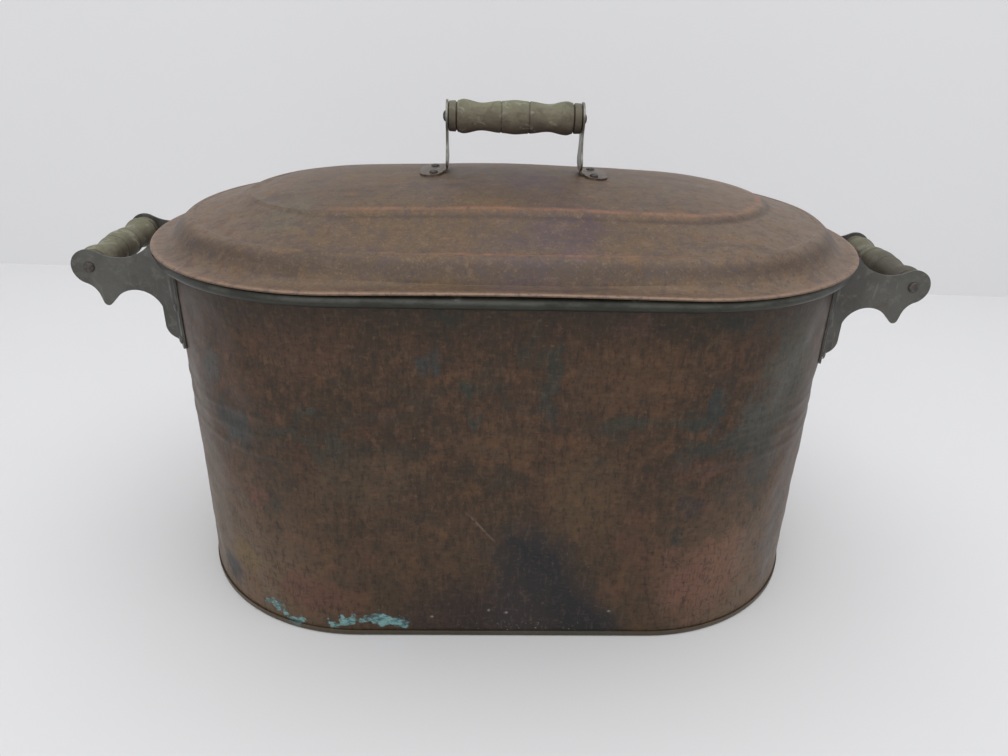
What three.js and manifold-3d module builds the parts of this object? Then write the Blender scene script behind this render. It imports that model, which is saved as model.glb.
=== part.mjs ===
// A copper wash boiler: an oblong copper tub with a rolled iron rim, stamped ears that carry turned
// wooden grips at both ends, and a stamped lid with a grip of its own.
// Millimetres. X runs from the left handle to the right one, Y to the back, Z up from the floor.
import * as THREE from "three";
import { mergeVertices } from "three/addons/utils/BufferGeometryUtils.js";
import Module from "manifold-3d";

const wasm = await Module();
wasm.setup();

// Tub: a straight middle with half-round ends.
const STRAIGHT_HALF = 123.2;
const WALL_RADIUS = 158.3;
const COPPER = 1.0;
const FIT = 0.3;
const LAP_WIDTH = 12;
const LAP_SLOPE_WIDTH = 7;
const BEAD_HEIGHTS = [170, 186, 202];
const BEAD_WIDTH = 11;
const BEAD_RISE = 0.9;
const BASE_BEND_RADIUS = 1.5;
const BASE_LIP_HEIGHT = 5.5;

// Rolled iron rim.
const RIM_TOP = 311.6;
const RIM_SHEET = 1.0;
const RIM_ROLL_RADIUS = 5.2;
const RIM_ROLL_REACH = 12.2;
const RIM_SHOULDER_RADIUS = 3.0;
const RIM_LEG_DEPTH = 16;
const RIM_WIRE_RADIUS = 3.4;

// Lid: insets are measured inwards from its edge, heights upwards from its lower edge.
const LID_OVERHANG = 1.3;
const LID_EDGE = { radius: 1.9, drop: 0.4 };
const LID_BRIM = { width: 17.5, height: 2.5 };
const LID_SHOULDER = { inset: 35.4, height: 20.9, power: 1.6, root: 0.7 };
const LID_CREASE = { width: 0.8, depth: 0.4 };
const LID_STEP = { inset: 80.9, height: 40.6, run: 2.9, riser: 3.0 };
const LID_TOP_HEIGHT = 52.8;
const LID_SWELL = 1.9;
const LID_RIDGE = { drop: 3.75, power: 1.21, peak: 1.1 };
const LID_FLANGE = { depth: 14, slack: 3.4, rise: 4 };

// Turned grips, the lid's a little shorter than the others. Places are shares of the half length,
// from the middle outwards.
const GRIP_LENGTH = 113.6;
const LID_GRIP_LENGTH = 108.2;
const GRIP_RADIUS = { barrel: 13.5, shoulder: 12.6, waist: 11.0, flare: 13.5, collar: 12.0 };
const GRIP_PLACE = { shoulder: 0.21, waist: 0.5, flare: 0.78, neck: 0.88 };
const GRIP_GROOVE = { width: 1.6, depth: 0.8 };
const GRIP_EDGE = 0.8;
const GRIP_END_SLACK = 0.5;

// Rods through the grips, and rivets.
const ROD_RADIUS = 3.0;
const ROD_HEAD = { radius: 4.4, rise: 2.4 };
const BORE_SLACK = 0.5;
const RIVET_RADIUS = 1.9;
const RIVET_HEAD = { radius: 3.6, rise: 1.8 };
const RIVET_TAIL = { radius: 3.0, rise: 1.0 };

// Ears at the ends of the tub, stamped from iron sheet. The left pair sits a little higher.
const HANDLE_STANDOFF = 54.3;
const HANDLE_DROP = { left: 19.7, right: 25.1 };
const EAR_SHEET = 1.8;
const EAR_KNOB_RADIUS = 14.3;
const EAR_NECK_RADIUS = 35;
const EAR_FLANK = { radius: 15.3, lean: 20.2 };
const EAR_HORN_RADIUS = 3.5;
const EAR_HORN_WEB = 1.0;
const EAR_ARCH = { drop: 39.7, radius: 21 };
const EAR_TAB = { radius: 13, drop: 48.7 };
const EAR_CORNER_RADIUS = 1.5;
const EAR_TOP_DROP = 1.0;
const EAR_BEND_RADIUS = 7;
const EAR_FLANGE = { width: 18, drop: 63.7, corner: 5, rivetSetback: 7 };
const EAR_RIVET_DROPS = [0, 28, 56];

// Lid handle: two bent straps.
const LID_HANDLE_SHIFT = 4.0;
const LID_HANDLE_HEIGHT = 94.8;
const STRAP_SHEET = 1.6;
const STRAP_HEAD_RADIUS = 12.9;
const STRAP_NECK = { half: 9, radius: 20 };
const STRAP_BLADE = { half: 16, corner: 4 };
const STRAP_HEEL_HALF = 9.5;
const STRAP_FOOT = { half: 21, length: 22.5, corner: 9.5 };
const STRAP_BEND_RADIUS = 3.5;
const STRAP_RIVET = { out: 11, spread: 13.3 };

// How finely curves are divided.
const END_STEPS = 14;
const LID_STRAIGHT_STEPS = 4;
const RIVET_STEPS = 8;
const ROD_STEPS = 12;
const GRIP_STEPS = 12;
const OUTLINE_STEP = THREE.MathUtils.degToRad(24);

// Places that follow from the sizes above.
const RIM_CENTRE_RADIUS = WALL_RADIUS + RIM_ROLL_REACH - RIM_ROLL_RADIUS;
const RIM_CENTRE_Z = RIM_TOP - RIM_ROLL_RADIUS;
const RIM_OUTER_RADIUS = WALL_RADIUS + RIM_ROLL_REACH;
const RIM_LOWER_Z = RIM_TOP - 2 * RIM_ROLL_RADIUS;
const RIM_LEG_RADIUS = WALL_RADIUS - COPPER - FIT - RIM_SHEET / 2;
const WALL_BOTTOM_Z = COPPER / 2 + BASE_BEND_RADIUS;
const WALL_TOP_Z = RIM_TOP - RIM_SHOULDER_RADIUS;
const LID_RADIUS = RIM_OUTER_RADIUS + LID_OVERHANG;
const LID_EDGE_Z = RIM_TOP + FIT - LID_EDGE.drop;
const HANDLE_REACH = STRAIGHT_HALF + WALL_RADIUS + HANDLE_STANDOFF;
const GRIP_SEAT = GRIP_LENGTH / 2 + GRIP_END_SLACK;
const EAR_PLANE = GRIP_SEAT + EAR_SHEET / 2;
const EAR_FLANGE_RADIUS = WALL_RADIUS + FIT + EAR_SHEET / 2;
const EAR_BEND_ANGLE = Math.asin((EAR_PLANE + EAR_BEND_RADIUS) / (EAR_FLANGE_RADIUS + EAR_BEND_RADIUS));
const EAR_END_ANGLE = EAR_BEND_ANGLE + EAR_FLANGE.width / EAR_FLANGE_RADIUS;
const EAR_RIVET_ANGLE = EAR_END_ANGLE - EAR_FLANGE.rivetSetback / EAR_FLANGE_RADIUS;
const STRAP_PLANE = LID_GRIP_LENGTH / 2 + GRIP_END_SLACK + STRAP_SHEET / 2;
const HAIR = 0.01;

const COPPER_WALL = { color: 0x6e4a3a, roughness: 0.5, metalness: 0.85 };
const COPPER_LID = { color: 0x8f6b57, roughness: 0.55, metalness: 0.8 };
const IRON = { color: 0x4c5049, roughness: 0.6, metalness: 0.75 };
const STEEL = { color: 0x8c8c86, roughness: 0.45, metalness: 0.85 };
const WOOD = { color: 0x6a6455, roughness: 0.75, metalness: 0.0 };

function named(name, geometry, material) {
  const mesh = new THREE.Mesh(geometry, new THREE.MeshStandardMaterial(material));
  mesh.name = name;
  return mesh;
}

// A closed surface from points and triangles: equal points become one, triangles that collapse
// are dropped, and the faces are turned outwards.
function closedSurface(points, triangles) {
  const loose = new THREE.BufferGeometry();
  loose.setAttribute("position", new THREE.Float32BufferAttribute(points.flat(), 3));
  loose.setIndex(triangles.flat());
  const surface = mergeVertices(loose, 1e-3);
  const corners = Array.from(surface.index.array);
  const place = surface.attributes.position;
  const [a, b, c] = [new THREE.Vector3(), new THREE.Vector3(), new THREE.Vector3()];
  const kept = [];
  let volume = 0;
  for (let i = 0; i < corners.length; i += 3) {
    const [p, q, r] = corners.slice(i, i + 3);
    if (p === q || q === r || r === p) continue;
    kept.push([p, q, r]);
    a.fromBufferAttribute(place, p);
    b.fromBufferAttribute(place, q);
    c.fromBufferAttribute(place, r);
    volume += a.dot(b.cross(c));
  }
  surface.setIndex(kept.flatMap(([p, q, r]) => (volume < 0 ? [p, r, q] : [p, q, r])));
  return surface;
}

function solidOf(geometry) {
  const bare = geometry.clone();
  bare.deleteAttribute("normal");
  bare.deleteAttribute("uv");
  const merged = mergeVertices(bare, 1e-3);
  const vertProperties = new Float32Array(merged.attributes.position.array);
  const triVerts = new Uint32Array(merged.index.array);
  return new wasm.Manifold(new wasm.Mesh({ numProp: 3, vertProperties, triVerts }));
}

function geometryOf(solid) {
  const mesh = solid.getMesh();
  const geometry = new THREE.BufferGeometry();
  geometry.setAttribute("position", new THREE.BufferAttribute(mesh.vertProperties, 3));
  geometry.setIndex(new THREE.BufferAttribute(mesh.triVerts, 1));
  return geometry;
}

// What several forms have in common, less the holes.
function shaped(forms, holes = []) {
  const common = forms.map(solidOf).reduce((solid, form) => solid.intersect(form));
  return geometryOf(holes.map(solidOf).reduce((solid, hole) => solid.subtract(hole), common));
}

// The plan's columns, anticlockwise from the front of the right end: where each one starts on the
// middle line and the direction in which it leaves it.
function planColumns(straightSteps) {
  const columns = [];
  for (const side of [1, -1]) {
    for (let i = 0; i <= END_STEPS; i++) {
      const angle = -Math.PI / 2 + (Math.PI * i) / END_STEPS;
      columns.push(endColumn(side, angle * side));
    }
    for (let i = 1; i < straightSteps; i++) {
      const start = side * STRAIGHT_HALF * (1 - (2 * i) / straightSteps);
      columns.push({ start, dx: 0, dy: side });
    }
  }
  return columns;
}

function endColumn(side, angle) {
  return { start: side * STRAIGHT_HALF, dx: side * Math.cos(angle), dy: Math.sin(angle) };
}

function pointOn(column, radius, z) {
  return [column.start + radius * column.dx, radius * column.dy, z];
}

// Carries a section of [radius, height] points once round the plan. One that starts on the middle
// line ends there too and covers the plan, and any other closes on itself.
function carriedRound(section, straightSteps = 1, lift = () => 0) {
  const columns = planColumns(straightSteps);
  const points = columns.flatMap((column) =>
    section.map(([radius, z]) => {
      const [x, y] = pointOn(column, radius, z);
      return [x, y, z + lift(radius, x)];
    }),
  );
  const strips = section[0][0] === 0 ? section.length - 1 : section.length;
  const triangles = [];
  for (let i = 0; i < columns.length; i++) {
    const here = i * section.length;
    const next = ((i + 1) % columns.length) * section.length;
    for (let j = 0; j < strips; j++) {
      const k = (j + 1) % section.length;
      triangles.push([here + j, next + j, next + k], [here + j, next + k, here + k]);
    }
  }
  return closedSurface(points, triangles);
}

// The section of a sheet bent along a path of [u, v] points, its thickness split to both sides.
function sheetSection(path, thickness) {
  const offsets = path.map(([u, v], i) => {
    const [pu, pv] = path[Math.max(i - 1, 0)];
    const [nu, nv] = path[Math.min(i + 1, path.length - 1)];
    const into = Math.atan2(v - pv, u - pu);
    const out = Math.atan2(nv - v, nu - u);
    const first = i === 0 ? out : into;
    const last = i === path.length - 1 ? into : out;
    const turn = Math.atan2(Math.sin(last - first), Math.cos(last - first));
    const normal = first + turn / 2 + Math.PI / 2;
    const reach = thickness / 2 / Math.cos(turn / 2);
    return [reach * Math.cos(normal), reach * Math.sin(normal)];
  });
  const left = path.map(([u, v], i) => [u + offsets[i][0], v + offsets[i][1]]);
  const right = path.map(([u, v], i) => [u - offsets[i][0], v - offsets[i][1]]);
  return [...left, ...right.reverse()];
}

// The same for a sheet that covers the plan: both of its faces start on the middle line.
function coverSection(path, thickness) {
  const section = sheetSection(path, thickness);
  section[0][0] = 0;
  section[section.length - 1][0] = 0;
  return section;
}

function arc([u, v], radius, from, to, steps) {
  return Array.from({ length: steps + 1 }, (_, i) => {
    const angle = THREE.MathUtils.degToRad(from + ((to - from) * i) / steps);
    return [u + radius * Math.cos(angle), v + radius * Math.sin(angle)];
  });
}

// An outline that runs anticlockwise round circles [u, v, radius], joined by tangents. A positive
// radius makes a convex corner, a negative one a hollow, and none a sharp corner.
function outlineRound(circles) {
  const headings = circles.map(([u, v, radius], i) => {
    const [nextU, nextV, nextRadius] = circles[(i + 1) % circles.length];
    const distance = Math.hypot(nextU - u, nextV - v);
    return Math.atan2(nextV - v, nextU - u) - Math.asin((nextRadius - radius) / distance);
  });
  return circles.flatMap(([u, v, radius], i) => {
    const from = headings[(i + circles.length - 1) % circles.length];
    const wound = THREE.MathUtils.euclideanModulo(headings[i] - from, 2 * Math.PI);
    const turn = radius < 0 ? wound - 2 * Math.PI : wound;
    const steps = radius === 0 ? 0 : Math.ceil(Math.abs(turn) / OUTLINE_STEP);
    return Array.from({ length: steps + 1 }, (_, k) => {
      const heading = from + (steps ? (turn * k) / steps : 0);
      return [u + radius * Math.sin(heading), v - radius * Math.cos(heading)];
    });
  });
}

// The point at given distances from two others, on the left of the way from the first to the second.
function touching([au, av], fromA, [bu, bv], fromB) {
  const span = Math.hypot(bu - au, bv - av);
  const along = (fromA ** 2 - fromB ** 2 + span ** 2) / (2 * span);
  const aside = Math.sqrt(fromA ** 2 - along ** 2);
  const [du, dv] = [(bu - au) / span, (bv - av) / span];
  return [au + along * du - aside * dv, av + along * dv + aside * du];
}

// Plates cut to an outline, as thick as from one height to another along Z, Y or X. Outlines are
// given in the XY, XZ and YZ planes.
function plateAlongZ(outline, from, to) {
  const shape = new THREE.Shape(outline.map(([u, v]) => new THREE.Vector2(u, v)));
  return new THREE.ExtrudeGeometry(shape, { depth: to - from, bevelEnabled: false }).translate(0, 0, from);
}

function plateAlongY(outline, from, to) {
  return plateAlongZ(outline, -to, -from).rotateX(Math.PI / 2);
}

function plateAlongX(outline, from, to) {
  return plateAlongZ(outline, from, to).rotateX(Math.PI / 2).rotateZ(Math.PI / 2);
}

// A turned piece along Z from a profile of [radius, height] points.
function turned(profile, steps) {
  const lathe = new THREE.LatheGeometry(profile.map(([radius, z]) => new THREE.Vector2(radius, z)), steps);
  lathe.rotateX(Math.PI / 2);
  const place = lathe.attributes.position;
  const points = Array.from({ length: place.count }, (_, i) => [place.getX(i), place.getY(i), place.getZ(i)]);
  const corners = Array.from(lathe.index.array);
  return closedSurface(points, Array.from({ length: corners.length / 3 }, (_, i) => corners.slice(3 * i, 3 * i + 3)));
}

function pin(radius, length, steps) {
  return new THREE.CylinderGeometry(radius, radius, length, steps).rotateX(Math.PI / 2);
}

// A rivet along Z with its head's seat at zero and its tail under the sheets that it holds.
function rivet(grip) {
  return turned(
    [
      [0, RIVET_HEAD.rise],
      [RIVET_HEAD.radius, 0],
      [RIVET_RADIUS, 0],
      [RIVET_RADIUS, -grip],
      [RIVET_TAIL.radius, -grip],
      [0, -grip - RIVET_TAIL.rise],
    ],
    RIVET_STEPS,
  );
}

// A rod along Z, headed at both ends, whose heads seat at the given distance from its middle.
function headedRod(seat) {
  const dome = [
    [0, seat + ROD_HEAD.rise],
    [ROD_HEAD.radius * 0.72, seat + ROD_HEAD.rise * 0.7],
    [ROD_HEAD.radius, seat],
    [ROD_RADIUS, seat],
  ];
  const foot = dome.map(([radius, z]) => [radius, -z]).reverse();
  return turned([...dome, ...foot], ROD_STEPS);
}

// A turned grip along Z: a barrel between two grooves, waists, flared ends and collars, bored
// from end to end for its rod.
function grip(length) {
  const half = length / 2;
  const eased = (place, radius, nextPlace, nextRadius, steps) =>
    Array.from({ length: steps }, (_, i) => {
      const share = i / steps;
      const blend = (1 - Math.cos(Math.PI * share)) / 2;
      return [radius + (nextRadius - radius) * blend, half * (place + (nextPlace - place) * share)];
    });
  const groove = (place, radius) => [
    [radius, half * place - GRIP_GROOVE.width / 2],
    [radius - GRIP_GROOVE.depth, half * place],
    [radius, half * place + GRIP_GROOVE.width / 2],
  ];
  const { barrel, shoulder, waist, flare, collar } = GRIP_RADIUS;
  const end = [
    ...eased(0, barrel, GRIP_PLACE.shoulder, shoulder, 2).slice(1),
    ...groove(GRIP_PLACE.shoulder, shoulder),
    ...eased(GRIP_PLACE.shoulder, shoulder, GRIP_PLACE.waist, waist, 2).slice(1),
    ...eased(GRIP_PLACE.waist, waist, GRIP_PLACE.flare, flare, 3),
    ...eased(GRIP_PLACE.flare, flare, GRIP_PLACE.neck, collar, 2),
    ...groove(GRIP_PLACE.neck, collar),
    [collar, half - GRIP_EDGE],
    [collar - GRIP_EDGE, half],
  ];
  const bore = ROD_RADIUS + BORE_SLACK;
  const other = end.map(([radius, z]) => [radius, -z]).reverse();
  return turned([[bore, -half], ...other, [barrel, 0], ...end, [bore, half], [bore, -half]], GRIP_STEPS);
}

// Turns an object made along Z so that it points out of an end of the tub.
function pointOutwards(object, side, angle, radius, z) {
  const column = endColumn(side, angle);
  object.quaternion.setFromUnitVectors(new THREE.Vector3(0, 0, 1), new THREE.Vector3(column.dx, column.dy, 0));
  object.position.set(...pointOn(column, radius, z));
  object.updateMatrix();
  return object;
}

// Holes for an ear's rivets. The depth lets them cut the ear and the wall behind it.
function earRivetHoles(side, end, axisZ) {
  return EAR_RIVET_DROPS.map((drop) => {
    const spot = pointOutwards(new THREE.Object3D(), side, end * EAR_RIVET_ANGLE, WALL_RADIUS, axisZ - drop);
    return pin(RIVET_RADIUS + FIT, 4 * EAR_SHEET, RIVET_STEPS).applyMatrix4(spot.matrix);
  });
}

// How far the wall's facets lie inside its circle at an angle.
function facetSink(angle) {
  const step = Math.PI / END_STEPS;
  const fromMiddle = THREE.MathUtils.euclideanModulo(angle, step) - step / 2;
  return WALL_RADIUS * (1 - Math.cos(step / 2) / Math.cos(fromMiddle));
}

// Half of the tub's wall, as [column, step inwards] pairs along the plan and [height, rise] levels.
function wallSheet(columns, levels) {
  const face = (depth) =>
    columns.flatMap(([column, inwards]) =>
      levels.map(([z, rise]) => pointOn(column, WALL_RADIUS + rise - inwards - depth, z)),
    );
  const [rows, count] = [levels.length, columns.length * levels.length];
  const triangles = [];
  const quad = (a, b, c, d) => triangles.push([a, b, c], [a, c, d]);
  for (let i = 0; i + 1 < columns.length; i++) {
    const [here, next] = [i * rows, (i + 1) * rows];
    for (let j = 0; j + 1 < rows; j++) {
      quad(here + j, next + j, next + j + 1, here + j + 1);
      quad(count + here + j, count + here + j + 1, count + next + j + 1, count + next + j);
    }
    quad(here, count + here, count + next, next);
    quad(here + rows - 1, next + rows - 1, count + next + rows - 1, count + here + rows - 1);
  }
  for (let j = 0; j + 1 < rows; j++) {
    const last = count - rows;
    quad(j, j + 1, count + j + 1, count + j);
    quad(last + j, count + last + j, count + last + j + 1, last + j + 1);
  }
  return closedSurface([...face(0), ...face(COPPER)], triangles);
}

function wallLevels() {
  const beads = BEAD_HEIGHTS.flatMap((z) => [
    [z - BEAD_WIDTH / 2, 0],
    [z - BEAD_WIDTH / 5, BEAD_RISE],
    [z + BEAD_WIDTH / 5, BEAD_RISE],
    [z + BEAD_WIDTH / 2, 0],
  ]);
  return [[WALL_BOTTOM_Z, 0], ...beads, [WALL_TOP_Z, 0]];
}

// The front and back walls meet in a lap at each end, where the front one steps inwards and runs
// on behind the edge of the back one.
function tubWalls() {
  const lap = LAP_WIDTH / 2 / WALL_RADIUS;
  const slope = lap + LAP_SLOPE_WIDTH / WALL_RADIUS;
  const step = Math.PI / END_STEPS;
  const column = (side, angle, inwards = 0) => [endColumn(side, angle), inwards + facetSink(angle)];
  const quarter = Array.from({ length: END_STEPS / 2 }, (_, i) => Math.PI / 2 - i * step);
  const under = COPPER + FIT;
  const frontEnd = (side) => [
    ...quarter.map((angle) => column(side, -angle)),
    column(side, -slope),
    column(side, -lap - FIT / WALL_RADIUS, under),
    column(side, 0, under),
    column(side, lap, under),
  ];
  const backEnd = (side) => [...quarter, 0, -lap].map((angle) => column(side, angle));
  const front = wallSheet([...frontEnd(-1).reverse(), ...frontEnd(1)], wallLevels());
  const back = wallSheet([...backEnd(-1).reverse(), ...backEnd(1)], wallLevels());
  // The tongue ends below the rim's inner leg.
  const legBottom = RIM_TOP - RIM_LEG_DEPTH - FIT;
  const clearance = [-1, 1].map((side) => {
    const reach = WALL_RADIUS * Math.sin(slope);
    const [near, far] = [side * STRAIGHT_HALF, side * (STRAIGHT_HALF + 2 * WALL_RADIUS)];
    const plan = [[near, -reach], [far, -reach], [far, reach], [near, reach]];
    return plateAlongZ(side < 0 ? plan.reverse() : plan, legBottom, RIM_TOP);
  });
  const holes = (end) => [
    ...earRivetHoles(-1, end, RIM_TOP - HANDLE_DROP.left),
    ...earRivetHoles(1, end, RIM_TOP - HANDLE_DROP.right),
  ];
  return [
    named("body_front_sheet", shaped([front], [...holes(-1), ...clearance]), COPPER_WALL),
    named("body_back_sheet", shaped([back], holes(1)), COPPER_WALL),
  ];
}

// A flat bottom whose edge is turned up round the lower edge of the wall.
function basePan() {
  const middle = COPPER / 2;
  const lip = WALL_RADIUS + FIT + middle;
  const path = [
    [0, middle],
    ...arc([lip - BASE_BEND_RADIUS, middle + BASE_BEND_RADIUS], BASE_BEND_RADIUS, -90, 0, 2),
    [lip, BASE_LIP_HEIGHT],
  ];
  return named("base_pan", carriedRound(coverSection(path, COPPER)), COPPER_WALL);
}

// Iron sheet that covers the top edge of the copper, inside and out, and is rolled round a wire.
function rim() {
  const top = RIM_TOP - RIM_SHEET / 2;
  const shoulder = [RIM_LEG_RADIUS + RIM_SHOULDER_RADIUS, top - RIM_SHOULDER_RADIUS];
  const centre = [RIM_CENTRE_RADIUS, RIM_CENTRE_Z];
  const path = [
    [RIM_LEG_RADIUS, RIM_TOP - RIM_LEG_DEPTH],
    ...arc(shoulder, RIM_SHOULDER_RADIUS, 180, 90, 3),
    ...arc(centre, RIM_ROLL_RADIUS - RIM_SHEET / 2, 90, -165, 6),
  ];
  const wire = arc(centre, RIM_WIRE_RADIUS, 0, 300, 5);
  return [
    named("rim_band", carriedRound(sheetSection(path, RIM_SHEET)), IRON),
    named("rim_wire", carriedRound(wire), STEEL),
  ];
}

// The side view of an ear, from a knob round the rod to the flange beside the wall, with a hanging
// horn and an arch under the neck.
function earOutline(axisZ) {
  const innerFace = EAR_PLANE - EAR_SHEET / 2;
  const rimEdge = STRAIGHT_HALF + Math.sqrt(RIM_OUTER_RADIUS ** 2 - innerFace ** 2) + FIT;
  const notchZ = RIM_LOWER_Z - 2 * FIT;
  const corner = EAR_CORNER_RADIUS;
  const knob = [HANDLE_REACH, axisZ];
  const topCorner = [rimEdge + corner, RIM_TOP - EAR_TOP_DROP - corner];
  const span = Math.hypot(knob[0] - topCorner[0], knob[1] - topCorner[1]);
  const neckRadius = Math.max(EAR_NECK_RADIUS, 0.6 * span);
  const neck = touching(topCorner, neckRadius + corner + HAIR, knob, neckRadius + EAR_KNOB_RADIUS + HAIR);

  const lean = THREE.MathUtils.degToRad(EAR_FLANK.lean);
  const flankReach = EAR_KNOB_RADIUS + EAR_FLANK.radius + HAIR;
  const flank = [knob[0] + flankReach * Math.sin(lean), axisZ - flankReach * Math.cos(lean)];
  const horn = [flank[0] - EAR_FLANK.radius - EAR_HORN_RADIUS - EAR_HORN_WEB, flank[1] - EAR_HORN_WEB];

  const tab = [STRAIGHT_HALF + EAR_FLANGE_RADIUS * Math.cos(EAR_BEND_ANGLE), axisZ - EAR_TAB.drop];
  const archX = (tab[0] + EAR_TAB.radius + horn[0] - EAR_HORN_RADIUS) / 2;
  const archZ = axisZ - EAR_ARCH.drop;
  const archRadius = Math.min(
    EAR_ARCH.radius,
    Math.hypot(archX - tab[0], archZ - tab[1]) - EAR_TAB.radius,
    Math.hypot(archX - horn[0], archZ - horn[1]) - EAR_HORN_RADIUS,
  );

  const farX = STRAIGHT_HALF + (EAR_FLANGE_RADIUS - EAR_SHEET / 2) * Math.cos(EAR_END_ANGLE);
  const bottomZ = axisZ - EAR_FLANGE.drop;
  const far = farX + EAR_FLANGE.corner;
  const hollowX = tab[0] + 2 * corner;
  const hollowDrop = Math.sqrt((EAR_TAB.radius + corner + HAIR) ** 2 - (hollowX - tab[0]) ** 2);
  return outlineRound([
    [...knob, EAR_KNOB_RADIUS],
    [...neck, -neckRadius],
    [...topCorner, corner],
    [rimEdge - corner, notchZ + corner, -corner],
    [far, notchZ - EAR_FLANGE.corner, EAR_FLANGE.corner],
    [far, bottomZ + EAR_FLANGE.corner, EAR_FLANGE.corner],
    [hollowX - 2 * corner, bottomZ + corner, corner],
    [hollowX, tab[1] - hollowDrop, -corner],
    [...tab, EAR_TAB.radius],
    [archX, archZ, HAIR - archRadius],
    [...horn, EAR_HORN_RADIUS],
    [...flank, -EAR_FLANK.radius],
  ]);
}

// The right rear ear: sheet that follows the wall, bends outwards and carries the rod.
function ear(axisZ) {
  const degrees = THREE.MathUtils.radToDeg;
  const bendReach = EAR_FLANGE_RADIUS + EAR_BEND_RADIUS;
  const bend = [STRAIGHT_HALF + bendReach * Math.cos(EAR_BEND_ANGLE), EAR_PLANE + EAR_BEND_RADIUS];
  const [start, end] = [degrees(EAR_END_ANGLE), degrees(EAR_BEND_ANGLE)];
  const plan = [
    ...arc([STRAIGHT_HALF, 0], EAR_FLANGE_RADIUS, start, end, 2),
    ...arc(bend, EAR_BEND_RADIUS, 180 + end, 270, 3).slice(1),
    [HANDLE_REACH + 2 * EAR_KNOB_RADIUS, EAR_PLANE],
  ];
  const band = plateAlongZ(sheetSection(plan, EAR_SHEET), axisZ - 2 * EAR_FLANGE.drop, RIM_TOP);
  const blank = plateAlongY(earOutline(axisZ), 0, WALL_RADIUS);
  const rodHole = pin(ROD_RADIUS + FIT, GRIP_LENGTH, ROD_STEPS).rotateX(Math.PI / 2);
  rodHole.translate(HANDLE_REACH, EAR_PLANE, axisZ);
  return shaped([band, blank], [rodHole, ...earRivetHoles(1, 1, axisZ)]);
}

// Everything that carries one of the grips at the ends.
function endHandle(sideName, side, drop) {
  const axisZ = RIM_TOP - drop;
  const pieces = [];
  for (const [endName, end] of [["front", -1], ["rear", 1]]) {
    const piece = named(`${sideName}_${endName}_ear`, ear(axisZ), IRON);
    piece.scale.set(side, end, 1);
    pieces.push(piece);
    EAR_RIVET_DROPS.forEach((rivetDrop, i) => {
      const held = EAR_SHEET + COPPER + 4 * FIT + facetSink(EAR_RIVET_ANGLE);
      const stud = named(`${sideName}_${endName}_ear_rivet_${i + 1}`, rivet(held), IRON);
      const seat = EAR_FLANGE_RADIUS + EAR_SHEET / 2 + FIT;
      pieces.push(pointOutwards(stud, side, end * EAR_RIVET_ANGLE, seat, axisZ - rivetDrop));
    });
  }
  const rod = named(`${sideName}_grip_rod`, headedRod(EAR_PLANE + EAR_SHEET / 2 + FIT), STEEL);
  const handle = named(`${sideName}_grip`, grip(GRIP_LENGTH), WOOD);
  for (const piece of [rod, handle]) {
    piece.rotation.x = Math.PI / 2;
    piece.position.set(side * HANDLE_REACH, 0, axisZ);
    pieces.push(piece);
  }
  return pieces;
}

// Height of the middle of the lid's sheet from the shoulder inwards at an inset from its edge, on
// the short axis: a rounded shoulder up from the brim, and a domed panel inside the step.
function lidHeight(inset) {
  const middle = -COPPER / 2;
  const { height: low, width: start } = LID_BRIM;
  if (inset <= LID_SHOULDER.inset) {
    const share = (LID_SHOULDER.inset - inset) / (LID_SHOULDER.inset - start);
    const rise = (1 - share ** LID_SHOULDER.power) ** LID_SHOULDER.root;
    return middle + low + (LID_SHOULDER.height - low) * rise;
  }
  const share = (inset - LID_STEP.inset) / (LID_RADIUS - LID_STEP.inset);
  return middle + LID_STEP.height + (LID_TOP_HEIGHT - LID_STEP.height) * (1 - (1 - share) ** LID_SWELL);
}

// The lid sags from its middle towards both ends: not at all outside the shoulder, more on the
// raised panel, and most along the panel's ridge.
function lidSag(radius, x) {
  const outer = LID_RADIUS - LID_SHOULDER.inset;
  const inner = LID_RADIUS - LID_STEP.inset;
  const share = THREE.MathUtils.clamp((outer - radius) / (outer - inner), 0, 1);
  const peak = 1 + LID_RIDGE.peak * Math.max(1 - radius / inner, 0);
  return -LID_RIDGE.drop * share * peak * (Math.abs(x) / WALL_RADIUS) ** LID_RIDGE.power;
}

function lidTop(x) {
  return lidHeight(LID_RADIUS) + COPPER / 2 + lidSag(0, x);
}

function strapRivetSpots() {
  return [-1, 1].flatMap((side) =>
    [-1, 1].map((end) => [LID_HANDLE_SHIFT + side * (STRAP_PLANE + STRAP_RIVET.out), end * STRAP_RIVET.spread]),
  );
}

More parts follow.
